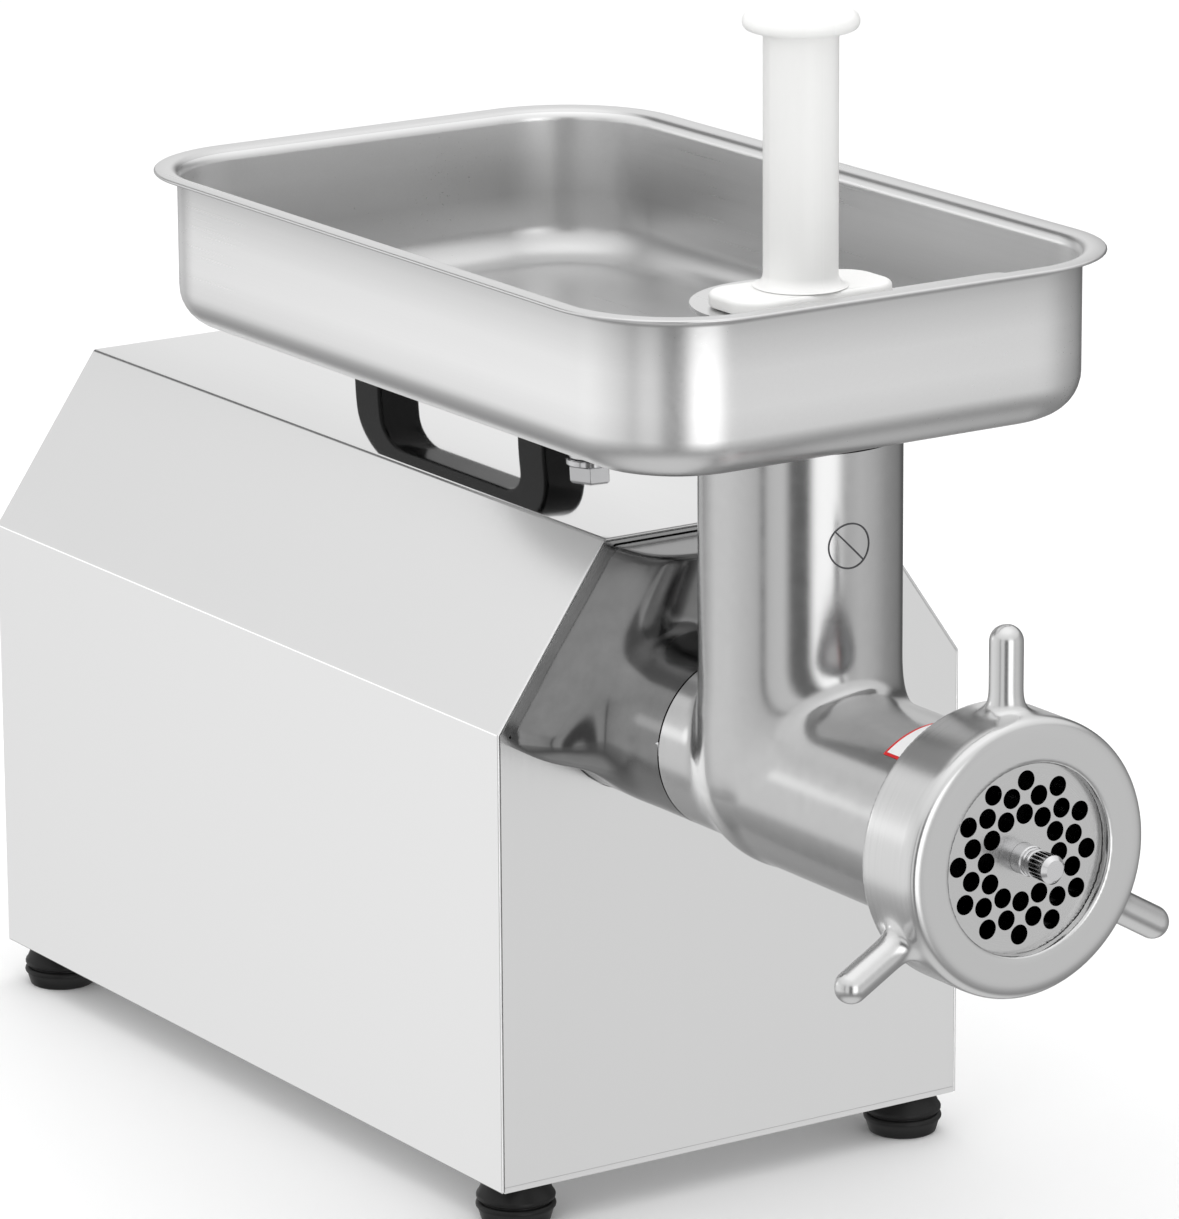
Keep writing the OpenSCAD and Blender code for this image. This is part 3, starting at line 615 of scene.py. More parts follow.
def cabinet_profile(inset, low, r):
    """The cabinet's section as an open path from the left foot over the top to the right foot."""
    lean = math.atan2(TOP_Z - SHOULDER_Z, HALF_W - HALF_TOP)
    down = inset * math.tan((math.pi / 2 - lean) / 2)
    side = inset * math.tan(lean / 2)
    corners = [(-HALF_W + inset, low, 0), (-HALF_W + inset, SHOULDER_Z - down, r),
               (-HALF_TOP + side, TOP_Z - inset, r), (HALF_TOP - side, TOP_Z - inset, r),
               (HALF_W - inset, SHOULDER_Z - down, r), (HALF_W - inset, low, 0)]
    return rounded_path(corners, 5)


def build_shell():
    outer = cabinet_profile(0, BODY_Z, BEND_R)
    inner = cabinet_profile(SHEET, BODY_Z, BEND_R - SHEET)
    outline = outer + inner[::-1]
    piece = prism("cabinet_shell", outline, 0, BODY_L)
    soften_edges(piece, 0.58, 4, 50)
    finish_piece(piece, "machine", [CABINET, CABINET_TOP, EDGE_HIGHLIGHT], ["body_shell"])
    # Top faces get the polished top steel; the rim bevels get the painted-highlight steel.
    for f in piece.data.polygons:
        if f.normal.z > 0.98:
            f.material_index = 1
        elif 0.1 < abs(f.normal.y) < 0.98:
            f.material_index = 2


# ---- Gearbox nose ----

def plane(x, z, nx, nz, px, pz):
    """Distance outside a plane through (px, pz) that faces (nx, nz) in x and z."""
    size = math.hypot(nx, nz)
    return ((x - px) * nx + (z - pz) * nz) / size


NOSE_LEFT = mm_x(nose_low.x)
NOSE_RIGHT, NOSE_BOTTOM, NOSE_REACH = 11.0, 172.0, 28.0
NECK_R, SPIGOT_R, SPIGOT_L = 30.0, 24.5, 24.0
SEAM_GAP = 0.4                                   # half the dark line between neck and head
CASE_OUTLINE = [(-88, 166), (-88, 178), (-50, 228), (10, 228), (36, 190), (36, 92), (-4, 92), (-58, 140),
                (-74, 152)]
CASE_FRONT, CASE_REAR, CASE_WALL, CASE_HALF = 2.0, 54.0, 2.5, 50.0


def round_bar(x, z, r):
    """Distance outside a bar of radius r along the screw's axis."""
    return np.hypot(x - AXIS_X, z - AXIS_Z) - r


def nose_field(x, y, z):
    """The gearbox's nose through the front panel, blended into the round neck that carries the head."""
    lean = (HALF_W - HALF_TOP) / (TOP_Z - SHOULDER_Z)
    side = NOSE_LEFT - x
    shoulder = plane(x, z, -1.0, lean, NOSE_LEFT, SHOULDER_Z + 1.0)
    top = z - (TOP_Z - SHEET - 1.5)
    out = np.clip(-y / 30.0, 0.0, 1.0)
    out = out * out * (3 - 2 * out)
    bottom = NOSE_BOTTOM - 8.0 * out - z
    front = -(y + NOSE_REACH)
    body = smax(np.maximum(smax(side, shoulder, 3.0), x - NOSE_RIGHT), front, 30.0)
    body = smax(smax(body, top, 3.0), bottom, 6.0 + 26.0 * out)
    body = smin(body, round_bar(x, z, NECK_R), 18.0)
    bore = np.maximum(round_bar(x, z, SPIGOT_R + 0.05), y + 25.0)
    return smax(body, -bore, 1.0)


def build_nose():
    cuts = [((0, SEAM_Y + SEAM_GAP, 0), (0, -1, 0)), ((0, 1.2, 0), (0, 1, 0))]
    low = (NOSE_LEFT - 4, SEAM_Y - 3, 138)
    high = (24, 4, TOP_Z + 2)
    piece = implicit_piece("gearbox_nose", nose_field, low, high, 1.5, cuts)
    finish_piece(piece, "machine", NOSE_CASTING, ["gear_housing"])
    mid_x, mid_z = np.mean(CASE_OUTLINE, 0)
    shrink = 1 - CASE_WALL / CASE_HALF
    inner = [(mid_x + (x - mid_x) * shrink, mid_z + (z - mid_z) * shrink) for x, z in CASE_OUTLINE]
    loops = [[(x, y, z) for x, z in outline] for outline, y in
             ((CASE_OUTLINE, CASE_FRONT), (CASE_OUTLINE, CASE_REAR), (inner, CASE_REAR),
              (inner, CASE_FRONT + CASE_WALL))]
    finish_piece(skin("gearbox_case", loops), "machine", CASTING)


# ---- Grinding head ----

BARREL_R, BORE_R, THROAT_R, THROAT_BORE_R, THREAD_R, MOUTH_R = 33.0, 27.5, 33.5, 28.3, 40.6, 35.2


def head_field(x, y, z):
    """Barrel, elbow, upright throat and rear stub as one hollow casting."""
    upright = np.hypot(x - AXIS_X, y - THROAT_Y)
    barrel = np.hypot(round_bar(x, z, 0.0), np.maximum(y - THROAT_Y, 0)) - BARREL_R
    throat = np.hypot(upright, np.minimum(z - AXIS_Z, 0)) - THROAT_R
    stub = smax(round_bar(x, z, NECK_R), THROAT_Y - y, 2.0)
    body = smin(barrel, throat, 1.0 + 16.0 * np.clip((z - AXIS_Z + 5.0) / 25.0, 0, 1))
    body = smin(body, stub, 5.0)
    screw_bore = np.maximum(round_bar(x, z, BORE_R), y - (SEAM_Y - 4.0))
    feed_bore = np.maximum(upright - THROAT_BORE_R, AXIS_Z - z)
    return smax(body, -np.minimum(screw_bore, feed_bore), 1.2)


def tube(name, r_in, r_out, y0, y1, chamfer=0.6, segments=96):
    """A round tube along the screw's axis, with chamfered ends."""
    c = chamfer
    profile = [(r_in, y0), (r_out - c, y0), (r_out, y0 + c), (r_out, y1 - c), (r_out - c, y1), (r_in, y1)]
    return lathe(name, profile, (AXIS_X, 0, AXIS_Z), "y", segments, closed=True)


def build_head():
    top = throat_high.z / MM
    cuts = [((0, SEAM_Y - SEAM_GAP, 0), (0, 1, 0)), ((0, RING_REAR - 2, 0), (0, -1, 0)),
            ((0, 0, top), (0, 0, 1))]
    low = (AXIS_X - 36, RING_REAR - 5, AXIS_Z - 36)
    high = (AXIS_X + 36, SEAM_Y + 3, top + 3)
    piece = implicit_piece("head_casting", head_field, low, high, 1.8, cuts)
    finish_piece(piece, "head", CASTING, ["head_barrel"])
    spigot = tube("head_spigot", 13.0, SPIGOT_R, SEAM_Y - 1, SEAM_Y + SPIGOT_L, 1.5)
    finish_piece(spigot, "head", DRIVE)
    pitch, crests = 3.0, 7
    y0 = PLATE_Y + 1
    profile = [(MOUTH_R, y0), (THREAD_R - 1.5, y0)]
    for i in range(crests):
        profile += [(THREAD_R, y0 + 0.8 + pitch * i), (THREAD_R, y0 + 1.6 + pitch * i),
                    (THREAD_R - 1.4, y0 + 2.6 + pitch * i)]
    profile += [(THREAD_R - 1.4, RING_REAR + 1.4), (BARREL_R - 1, RING_REAR + 1.4), (BORE_R, RING_REAR - 5),
                (BORE_R, y0 + 12), (MOUTH_R, y0 + 12)]
    mouth = lathe("head_mouth", profile, (AXIS_X, 0, AXIS_Z), "y", 96, closed=True)
    finish_piece(mouth, "head", DRIVE)
    build_sign()
    build_arrow()


def wrapped(name, outlines, place, thickness=0.12):
    """Thin flat shapes laid on a round surface; place(u, v, lift) gives the point."""
    mesh = bpy.data.meshes.new(name)
    with editing(mesh) as bm:
        for outline in outlines:
            bm.faces.new([bm.verts.new(row(place(u, v, thickness))) for u, v in outline])
    return new_object(name, mesh)


def strip(a, b, half, cuts=12):
    """A straight stroke from a to b as short quads, so that it can bend round a surface."""
    a, b = np.array(a, float), np.array(b, float)
    side = np.array([-(b - a)[1], (b - a)[0]]) / np.linalg.norm(b - a) * half
    p = [a + (b - a) * i / cuts for i in range(cuts + 1)]
    return [[tuple(p[i] - side), tuple(p[i + 1] - side), tuple(p[i + 1] + side), tuple(p[i] + side)]
            for i in range(cuts)]


def build_sign():
    """A plain printed ring with a bar across it on the throat."""
    r, half, height, left = 7.4, 0.28, 264.0, math.radians(6.6)
    steps = 64
    outlines = []
    for i in range(steps):
        a0, a1 = 2 * math.pi * i / steps, 2 * math.pi * (i + 1) / steps
        outlines.append([((r + d) * math.cos(a), (r + d) * math.sin(a))
                         for d, a in ((-half, a0), (half, a0), (half, a1), (-half, a1))])
    outlines += strip((-r * 0.72, r * 0.72), (r * 0.72, -r * 0.72), half)

    def place(u, v, lift):
        a = u / THROAT_R - left
        out = THROAT_R + lift
        return (AXIS_X + out * math.sin(a), THROAT_Y - out * math.cos(a), height + v)

    piece = wrapped("printed_sign", outlines, place)
    finish_piece(piece, "head", INK)


def build_arrow():
    """A small sticker on the barrel with a red border and an arrow for the way the ring turns."""
    def place(u, v, lift):
        a = math.radians(18) + u / BARREL_R
        return (AXIS_X - (BARREL_R + lift) * math.sin(a), RING_REAR + 12.5 + v,
                AXIS_Z + (BARREL_R + lift) * math.cos(a))

    def square(half):
        return strip((-half, 0), (half, 0), half, 24)

    arrow = strip((-3, 4), (5, 4), 0.9) + [[(5, 1.4), (10, 4), (5, 6.6)]]
    for name, outlines, lift, slot, material in (
            ("sticker_border", square(11.5), 0.15, "red_plastic", RED_INK),
            ("sticker_field", square(10.4), 0.24, "white_plastic", LABEL),
            ("sticker_arrow", arrow, 0.22, "red_plastic", RED_INK)):
        finish_piece(wrapped(name, outlines, place, lift), "head", material)


# ---- Ring nut ----

RING_R, RING_MOUTH_R, RING_BORE_R = 46.0, 31.2, 40.8
LUG_ANGLES, LUG_ROOT, LUG_TIP, LUG_R = (90, 210, 330), 40.0, 68.5, 5.5


def ring_field(x, y, z):
    """The ring nut: a turned ring with three round lugs blended into it."""
    r = round_bar(x, z, 0.0)
    body = smax(smax(r - RING_R, RING_FRONT - y, 7.0), y - RING_REAR, 2.0)
    middle_y = (RING_FRONT + RING_REAR) / 2
    for ux, uz in (turn(a) for a in LUG_ANGLES):
        out = np.clip((x - AXIS_X) * ux + (z - AXIS_Z) * uz, LUG_ROOT, LUG_TIP)
        off = np.sqrt((x - AXIS_X - ux * out) ** 2 + (z - AXIS_Z - uz * out) ** 2 + (y - middle_y) ** 2)
        body = smin(body, off - LUG_R, 9.0)
    body = smax(body, RING_MOUTH_R - r, 2.5)
    thread = smax(r - RING_BORE_R, PLATE_Y - 0.3 - y, 1.0)
    return smax(body, -thread, 1.0)


def build_ring():
    low = (AXIS_X - 76, RING_FRONT - 2, AXIS_Z - 50)
    high = (AXIS_X + 76, RING_REAR + 2, AXIS_Z + 78)
    piece = implicit_piece("three_lug_ring", ring_field, low, high, 1.0)
    finish_piece(piece, "ring", RING, ["ring_nut"])


def build_stud():
    """The stud on the screw's nose: shoulder, two grooves and a chamfered tip."""
    low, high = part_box("auger_stud")
    tip, back = mm_y(low.y), mm_y(high.y)
    profile = [(0, tip), (3.3, tip)] + [(4.6, tip + 1.4)]
    for groove in (8.2, 10.2):
        y = tip + groove
        profile += [(4.6, y - 0.3), (4.15, y), (4.15, y + 0.7), (4.6, y + 1.0)]
    profile += [(4.6, tip + 12.0), (5.0, tip + 12.4), (5.0, back - 0.1), (0, back - 0.1)]
    piece = lathe("grooved_stud", profile, (AXIS_X, 0, AXIS_Z), "y", 64)
    finish_piece(piece, "screw", BRIGHT, ["auger_stud"])


# ---- Tray ----

COLLAR_R, COLLAR_BORE_R, COLLAR_L = 28.0, 26.2, 26


def rounded_loop(cx, cy, half_w, half_l, r, z, steps=14):
    pts = []
    for sx, sy, a0 in ((1, 1, 0), (-1, 1, 90), (-1, -1, 180), (1, -1, 270)):
        mx, my = cx + sx * (half_w - r), cy + sy * (half_l - r)
        pts += [(x, y, z) for x, y in arc(mx, my, r, a0, a0 + 90, steps)]
    return pts


def build_tray():
    cx, cy = mm_x((tray_low.x + tray_high.x) / 2), mm_y((tray_low.y + tray_high.y) / 2)
    rim_x, rim_y = (tray_high.x - tray_low.x) / 2 / MM, (tray_high.y - tray_low.y) / 2 / MM
    rim_z = tray_high.z / MM
    wall_r, floor_z, rim_w, t, bend, base_r = 38.0, 295.0, 8.0, 1.2, 3.0, 14.0
    half_w, half_l = rim_x - rim_w, rim_y - rim_w
    loops = []

    def loop(offset, z):
        loops.append(rounded_loop(cx, cy, half_w + offset, half_l + offset, wall_r + offset, z))

    # outside: floor edge, bottom bend, wall, flange, lip; then back along the inside
    for c, s in map(turn, range(0, 91, 10)):
        loop(-base_r + base_r * s, floor_z + base_r - base_r * c)
    loop(0, rim_z - t - bend)
    for c, s in map(turn, range(15, 91, 15)):
        loop(bend - bend * c, rim_z - t - bend + bend * s)
    loop(rim_w - 0.6, rim_z - t)
    for c, s in map(turn, range(-60, 91, 30)):
        loop(rim_w - 0.6 + 0.6 * c, rim_z - 0.6 + 0.6 * s)
    for c, s in map(turn, range(90, -1, -15)):
        loop(bend - (bend + t) * c, rim_z - bend - t + (bend + t) * s)
    for c, s in map(turn, range(90, -1, -10)):
        loop(-base_r + (base_r - t) * s, floor_z + base_r - (base_r - t) * c)
    points = [p for l in loops for p in l]
    faces = bands(len(loops), len(loops[0]))
    # the feed hole: a collar below the floor, joined to both floor skins
    around = 96
    collar_z = floor_z - COLLAR_L
    faces += bands(4, around, len(points))
    for r, z in ((COLLAR_R, floor_z), (COLLAR_R, collar_z), (COLLAR_BORE_R, collar_z),
                 (COLLAR_BORE_R, floor_z + t)):
        points += [(x, y, z) for x, y in arc(AXIS_X, THROAT_Y, r, 0, 360, around)[:-1]]
    mesh = bpy.data.meshes.new("pressed_tray")
    mesh.from_pydata([tuple(p) for p in row(points)], [], faces)
    with editing(mesh) as bm:
        for z in (floor_z, floor_z + t):
            edges = [e for e in bm.edges if e.is_boundary
                     and all(abs(v.co.z - z * MM) < 1e-6 for v in e.verts)]
            bmesh.ops.triangle_fill(bm, edges=edges, use_beauty=True)
        bmesh.ops.recalc_face_normals(bm, faces=bm.faces)
    smooth_by_angle(mesh, 40)
    piece = new_object("pressed_tray", mesh)
    finish_piece(piece, "tray", [TRAY, TRAY_IN], ["feed_tray"])
    centre = Vector(row((cx, cy, 0)))
    # Inward faces below the rim get the darker painted-shade copy of the tray steel.
    for f in mesh.polygons:
        away = f.center - centre
        away.z = 0
        facing_in = f.normal.dot(away.normalized()) < -0.1 or f.normal.z > 0.5
        f.material_index = 1 if facing_in and f.center.z < (rim_z - 1.5) * MM else 0


def build_guard():
    """Sheet guard over the feed hole: a flat top with a round end and two upright legs."""
    low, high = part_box("tray_guard")
    x0, x1, top, t = mm_x(low.x), mm_x(high.x) + 2.0, high.z / MM, 1.4
    front, rear, disc, leg_foot = mm_y(low.y) + 0.4, -98.0, 36.0, 296.4
    reach = math.sqrt(disc ** 2 - (rear - THROAT_Y) ** 2)
    side = math.degrees(math.asin((rear - THROAT_Y) / disc))
    outline = rounded_path([(x0, front + 3, 3), (x0 + 6, front, 4), (x1 - 18, front, 12),
                            (x1, front + 9, 8), (x1, rear, 4), (AXIS_X + reach + 1, rear, 3)], 5)
    outline += arc(AXIS_X, THROAT_Y, disc, side, 180 - side, 40)
    outline += rounded_path([(AXIS_X - reach - 1, rear, 3), (x0, rear, 6), (x0, rear - 12, 0)], 5)[:-1]
    hole = arc(AXIS_X, THROAT_Y, COLLAR_BORE_R, 0, 360, 72)[:-1]
    mesh = bpy.data.meshes.new("sheet_guard")
    rims = []
    with editing(mesh) as bm:
        for z in (top - t, top):
            edges = []
            for ring in (outline, hole):
                verts = [bm.verts.new(row((x, y, z))) for x, y in ring]
                rims.append(verts)
                edges += [bm.edges.new((verts[i - 1], verts[i])) for i in range(len(verts))]
            bmesh.ops.triangle_fill(bm, edges=edges, use_beauty=True)
        for lower, upper in ((rims[0], rims[2]), (rims[1], rims[3])):
            for i in range(len(lower)):
                bm.faces.new((lower[i - 1], lower[i], upper[i], upper[i - 1]))
        bmesh.ops.recalc_face_normals(bm, faces=bm.faces)
    piece = new_object("sheet_guard", mesh)
    soften_edges(piece, 0.3, 2, 50)
    finish_piece(piece, "tray", TRAY_IN, ["tray_guard"])
    y0, y1 = front + 16, rear - 4
    for i, x in enumerate((x0 + 1.5, x1 - 3.5)):
        loops = [[(x, y0, z), (x + t, y0, z), (x + t, y1, z), (x, y1, z)] for z in (leg_foot, top - t)]
        leg = skin(f"guard_leg_{i + 1}", loops)
        finish_piece(leg, "tray", TRAY_IN)


# ---- Pusher ----

def build_pusher():
    """Plunger, crossbar, rod and cap in one moulding."""
    low, top = pusher_low.z / MM, pusher_high.z / MM
    plunger_top, bar_low, bar_high = 334.0, 338.3, 343.3
    half_w, half_l, rod = 31.0, 15.0, 12.25
    bar_r, rounding = 11.0, 1.6

    def loop(half_w, half_l, r, z):
        return rounded_loop(AXIS_X, THROAT_Y, half_w, half_l, r, z, 10)

    def ring(r, z):
        return loop(r, r, r, z)

    def bar(inset, z):
        return loop(half_w - inset, half_l - inset, bar_r - inset, z)

    loops = [ring(0.5, low), ring(22, low)] + [ring(r, z) for r, z in arc(22, low + 3, 3, -60, 0, 4)]
    loops += [ring(r, z) for r, z in arc(23, plunger_top - 2, 2, 0, 90, 4)]
    loops += [ring(rod, plunger_top), ring(rod, bar_low)]
    loops += [bar(2, bar_low), bar(0.4, bar_low + 0.4), bar(0, bar_low + 1.2), bar(0, bar_high - rounding)]
    loops += [bar(rounding - rounding * c, bar_high - rounding + rounding * s)
              for c, s in map(turn, (25, 50, 75, 90))]
    loops += [loop(15.2, 13.6, 13.6, bar_high)]
    loops += [ring(r, z) for r, z in arc(rod + 4, bar_high + 4.2, 4, 262, 180, 6)]
    neck = top - 6
    loops += [ring(rod, neck - 2.5)] + [ring(r, z) for r, z in arc(rod + 2.5, neck - 2.5, 2.5, 150, 90, 3)]
    loops += [ring(r, z) for r, z in arc(16.4, neck + 2.6, 2.6, -90, 0, 5)]
    loops += [ring(r, z) for r, z in arc(15.9, top - 3.1, 3.1, 0, 90, 6)] + [ring(0.5, top)]
    finish_piece(skin("white_pusher", loops), "pusher", WHITE, ["pusher"])


# ---- Handle and feet ----

def build_handle():
    low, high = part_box("carry_handle")
    x0, x1 = mm_x(low.x), mm_x(high.x)
    y0, y1, z0, z1 = mm_y(low.y), mm_y(high.y), low.z / MM, high.z / MM
    outer = rounded_path([(y0, z0, 0), (y0, z1, 30), (y1, z1, 30), (y1, z0, 0)], 12)
    w, t = 18.0, 15.0
    inner = rounded_path([(y0 + w, z0, 0), (y0 + w, z1 - t, 13), (y1 - w, z1 - t, 13), (y1 - w, z0, 0)], 12)
    piece = prism("arched_handle", outer + inner[::-1], x0, x1, "x")
    soften_edges(piece, 1.6, 4, 50)
    finish_piece(piece, "machine", BLACK, ["carry_handle"])


def build_bolt():
    """Hexagon bolt with washers in front of the handle."""
    centre = middle("top_washers")
    cx, cy, base, top = mm_x(centre.x), mm_y(centre.y), TOP_Z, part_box("top_bolt")[1].z / MM
    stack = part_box("top_washers")[1].z / MM
    for i, (r, z0, z1) in enumerate(((8.6, base, base + 2.0), (7.0, base + 2.0, base + 3.6),
                                     (8.2, base + 3.6, stack))):
        profile = [(4.05, z0), (r - 0.4, z0), (r, z0 + 0.4), (r, z1 - 0.4), (r - 0.4, z1), (4.05, z1)]
        washer = lathe(f"washer_{i + 1}", profile, (cx, cy, 0), "z", 64, closed=True)
        finish_piece(washer, "machine", BRIGHT, ["top_washers"] if i == 0 else ())

    def hexagon(r, z):
        return [(x, y, z) for x, y in arc(cx, cy, r, 0, 300, 5)]

    head = skin("hexagon_head", [hexagon(8.2, stack), hexagon(8.2, top - 1.0), hexagon(7.3, top)])
    soften_edges(head, 0.3, 2, 20)
    finish_piece(head, "machine", BRIGHT, ["top_bolt"])


def build_feet():
    low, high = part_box("feet")
    r = 14.0
    top = high.z / MM
    for i, (x, y) in enumerate([(low.x, low.y), (high.x, low.y), (low.x, high.y), (high.x, high.y)]):
        cx = mm_x(x) + (r if x == low.x else -r)
        cy = mm_y(y) + (r if y == low.y else -r)
        profile = [(6, 5.5), (6, 0.6)] + arc(6.6, 0.6, 0.6, 180, 270, 3) + arc(11.4, 0.8, 0.8, -90, 0, 4)
        profile += [(13.2, 4.2)] + arc(12.6, 5.6, 1.4, -20, 90, 5) + [(12.6, 7.4)]
        profile += arc(12.4, 8.8, 1.4, -90, 60, 6) + [(11, top), (0, top)]
        piece = lathe(f"rubber_foot_{i + 1}", profile, (cx, cy, 0), "z", 72)
        finish_piece(piece, "machine", RUBBER, ["feet"] if i == 0 else ())


# ---- Controls ----

def build_button(node, name, body, material):
    """A push button with a rounded rim and a slightly hollow face."""
    low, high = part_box(node)
    x0, x1 = mm_x(low.x), mm_x(high.x)
    r = (high.y - low.y) / 2 / MM
    profile = [(0, x0), (r, x0), (r, x1 - 1.6)] + arc(r - 1.2, x1 - 1.6, 1.2, 30, 90, 2)
    profile += [(r - 2.2, x1 - 0.9), (0, x1 - 1.3)]
    piece = lathe(name, profile, (0, mm_y(middle(node).y), middle(node).z / MM), "x", 72)
    finish_piece(piece, body, material, [node])


def build_knob():
    """Turned selector knob: fluted skirt with a grip bar across it."""
    low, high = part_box("reverse_knob")
    centre = middle("reverse_knob")
    cy, cz, r = mm_y(centre.y), centre.z / MM, (high.z - low.z) / 2 / MM
    face, tip = mm_x(high.x) - 10.0, mm_x(high.x)
    start = mm_x(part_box("switch_plate")[1].x) + 0.3
    flutes, steps, spindle_r = 24, 144, 5

    def skirt(r, x, depth):
        points = []
        for a in (2 * math.pi * k / steps for k in range(steps)):
            fluted = r - depth * (0.5 + 0.5 * math.cos(flutes * a))
            points.append((x, cy + fluted * math.cos(a), cz + fluted * math.sin(a)))
        return points

    loops = [skirt(spindle_r, mm_x(low.x), 0), skirt(spindle_r, start, 0), skirt(r - 0.4, start, 0.5),
             skirt(r, start + 0.5, 0.6), skirt(r, face - 1.4, 0.6), skirt(r - 0.5, face - 0.5, 0.4),
             skirt(r - 1.6, face, 0.0)]
    finish_piece(skin("selector_knob", loops), "reverse", BLACK, ["reverse_knob"])
    half_l, half_w, corner = 13.2, 3.5, 3.2

    def grip(inset, x):
        u, v, r = half_l - inset, half_w - inset, corner - inset
        outline = rounded_path([(-u, -v, r), (u, -v, r), (u, v, r), (-u, v, r)], 5)
        return [(x, cy + b, cz + a) for a, b in outline]

    loops = [grip(0, face - 0.5), grip(0, tip - 1.5), grip(0.5, tip - 0.5), grip(1.4, tip)]
    finish_piece(skin("selector_grip", loops), "reverse", BLACK)
    pointer = [[(x, cy + y, cz + z) for y, z in ((-0.6, 5.0), (0.6, 5.0), (0.6, 11.0), (-0.6, 11.0))]
               for x in (tip - 0.3, tip + 0.03)]
    finish_piece(skin("selector_pointer", pointer), "reverse", LABEL)


# ---- Stage ----

def build_stage():
    s = 6.0
    mesh = bpy.data.meshes.new("floor")
    mesh.from_pydata([(-s, -s, 0), (s, -s, 0), (s, s, 0), (-s, s, 0)], [], [[0, 1, 2, 3]])
    floor = new_object("floor", mesh)
    material, _, shader = node_material("pale_floor")
    shader.inputs["Base Color"].default_value = (0.93, 0.93, 0.93, 1)
    shader.inputs["Roughness"].default_value = 0.8
    mesh.materials.append(material)
    floor.visible_glossy = False


def area_light(name, place, aim, size, power):
    light = bpy.data.lights.new(name, "AREA")
    light.shape = "RECTANGLE"
    light.size, light.size_y = size
    light.energy = power
    lamp = bpy.data.objects.new(name, light)
    bpy.context.scene.collection.objects.link(lamp)
    lamp.location = place
    lamp.rotation_mode = "QUATERNION"
    lamp.rotation_quaternion = (Vector(aim) - Vector(place)).to_track_quat("-Z", "Y")
    return lamp


CAMERA_AZIMUTH = math.radians(-33.3)
# What the metal mirrors at eye height: angle from the camera's side of the studio, brightness
STUDIO_BANDS = [(-180, 0.92), (-172, 0.80), (-164, 0.25), (-153, 0.85), (-145, 0.38), (-126, 0.72),
                (-113, 0.95), (-90, 0.95), (-62, 0.80), (-50, 0.72), (-44, 0.26), (-38, 0.80), (-20, 0.90),
                (-11, 0.20), (6, 0.16), (15, 1.70), (38, 1.70), (49, 0.62), (68, 0.76), (88, 0.66),
                (110, 0.44), (140, 0.28), (156, 0.10), (168, 0.12), (176, 0.80), (180, 0.92)]
# What it mirrors higher and lower: height angle, brightness, and how far this hides the bands
STUDIO_HEIGHTS = [(-90, 0.80, 1), (-62, 0.75, 1), (-44, 0.30, 1), (-26, 0.34, 0.6), (-21, 0.5, 0),
                  (14, 0.6, 0), (26, 0.92, 0.9), (45, 1.00, 1), (70, 1.25, 1), (90, 1.25, 1)]
# Small cards: angle from the camera's side, height angle, size, brightness (all angles in degrees)
STUDIO_CARDS = [(-114, 4, 5, 1.8), (-143, 34, 14, 0.10)]


def along(tree, source, direction):
    node = add(tree, "ShaderNodeVectorMath", operation="DOT_PRODUCT")
    node.inputs[1].default_value = direction
    tree.links.new(source, node.inputs[0])
    return node.outputs["Value"]


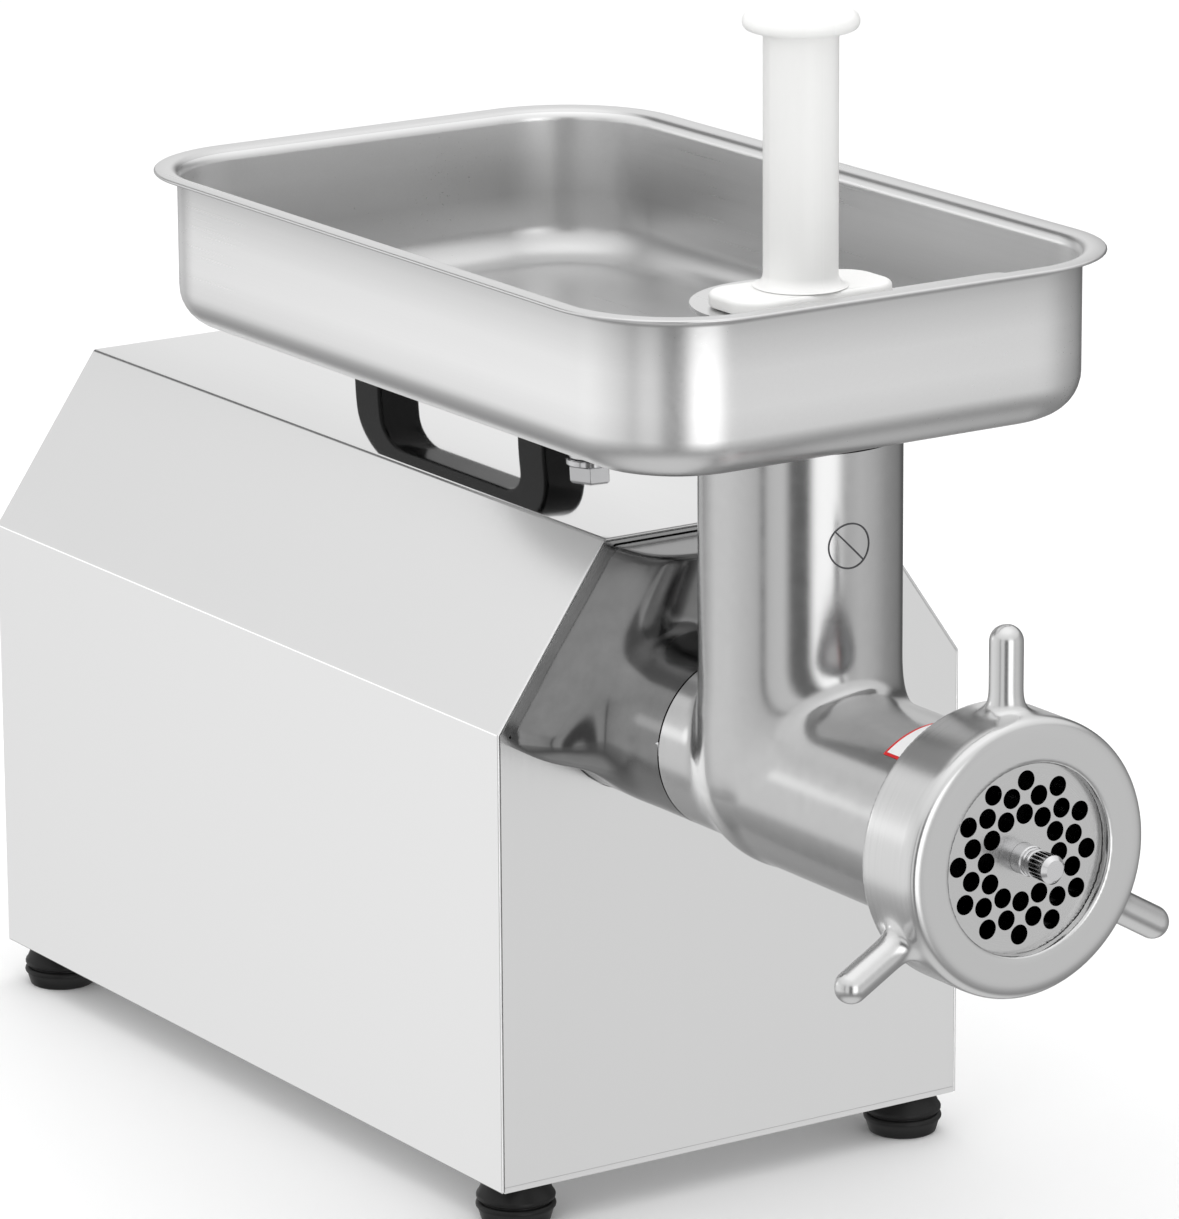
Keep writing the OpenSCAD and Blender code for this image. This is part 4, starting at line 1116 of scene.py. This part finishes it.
def build_world():
    """A white studio whose dark and bright zones the polished steel mirrors."""
    world = bpy.data.worlds.new("studio")
    bpy.context.scene.world = world
    world.use_nodes = True
    tree = world.node_tree
    background = tree.nodes["Background"]
    direction = tree.nodes.new("ShaderNodeTexCoord").outputs["Generated"]
    toward = (math.sin(CAMERA_AZIMUTH), -math.cos(CAMERA_AZIMUTH), 0)
    right = (math.cos(CAMERA_AZIMUTH), math.sin(CAMERA_AZIMUTH), 0)
    angle = arithmetic(tree, "ARCTAN2", along(tree, direction, right), along(tree, direction, toward))
    share = arithmetic(tree, "MULTIPLY_ADD", angle, 1 / (2 * math.pi), 0.5)
    bands = tree.nodes.new("ShaderNodeValToRGB")
    fill_ramp(bands, [((a + 180) / 360, v) for a, v in STUDIO_BANDS])
    tree.links.new(share, bands.inputs["Fac"])
    height = arithmetic(tree, "ARCSINE", along(tree, direction, (0, 0, 1)))
    level = arithmetic(tree, "MULTIPLY_ADD", height, 1 / math.pi, 0.5)
    tones, cover = tree.nodes.new("ShaderNodeValToRGB"), tree.nodes.new("ShaderNodeValToRGB")
    fill_ramp(tones, [((h + 90) / 180, v) for h, v, c in STUDIO_HEIGHTS])
    fill_ramp(cover, [((h + 90) / 180, c) for h, v, c in STUDIO_HEIGHTS])
    for node in (tones, cover):
        tree.links.new(level, node.inputs["Fac"])
    light = mixed(tree, cover.outputs["Color"], bands.outputs["Color"], tones.outputs["Color"])
    for angle_at, height_at, size, value in STUDIO_CARDS:
        a, e = math.radians(angle_at), math.radians(height_at)
        centre = Vector(toward) * math.cos(a) * math.cos(e) + Vector(right) * math.sin(a) * math.cos(e)
        centre.z = math.sin(e)
        near = ramp(tree, along(tree, direction, centre), 0.0, 1.0,
                    turn(size * 1.25)[0], turn(size * 0.75)[0])
        light = mixed(tree, near, light, (value, value, value, 1))
    tree.links.new(light, background.inputs["Color"])
    plain = tree.nodes.new("ShaderNodeBackground")
    plain.inputs["Color"].default_value = (1, 1, 1, 1)
    plain.inputs["Strength"].default_value = 1.05
    seen = tree.nodes.new("ShaderNodeLightPath")
    pick = tree.nodes.new("ShaderNodeMixShader")
    tree.links.new(seen.outputs["Is Camera Ray"], pick.inputs["Fac"])
    tree.links.new(background.outputs[0], pick.inputs[1])
    tree.links.new(plain.outputs[0], pick.inputs[2])
    tree.links.new(pick.outputs[0], tree.nodes["World Output"].inputs["Surface"])


def build_lights():
    build_world()
    for name, place, size, power in (("overhead_box", (0.1, 0.2, 2.4), (3.0, 3.0), 26),
                                     ("left_box", (-2.2, -0.8, 1.6), (1.6, 1.6), 9)):
        lamp = area_light(name, place, (0, 0, 0.1), size, power)
        lamp.visible_glossy = False
    bpy.context.scene.view_settings.view_transform = "Standard"


# ---- Camera ----

def build_camera():
    azimuth, elevation, roll = CAMERA_AZIMUTH, math.radians(15.06), math.radians(-0.38)
    back = Vector((math.sin(azimuth) * math.cos(elevation), -math.cos(azimuth) * math.cos(elevation),
                   math.sin(elevation)))
    camera = bpy.data.objects.new("camera", bpy.data.cameras.new("camera"))
    bpy.context.scene.collection.objects.link(camera)
    camera.location = row((-1321.4, -1922.4, 835.2))
    camera.rotation_mode = "QUATERNION"
    level = (-back).to_track_quat("-Z", "Y")
    camera.rotation_quaternion = level @ Matrix.Rotation(roll, 4, "Z").to_quaternion()
    camera.data.sensor_width = 36.0
    camera.data.lens = 208.7
    camera.data.clip_end = 50
    bpy.context.scene.camera = camera


build_camera()
build_stage()
build_lights()
dress_cad_nodes()
build_shell()
build_nose()
build_head()
build_ring()
build_stud()
build_tray()
build_guard()
build_pusher()
build_handle()
build_bolt()
build_button("start_button", "green_push_button", "start", GREEN)
build_button("stop_button", "red_push_button", "stop", RED)
build_knob()
build_feet()
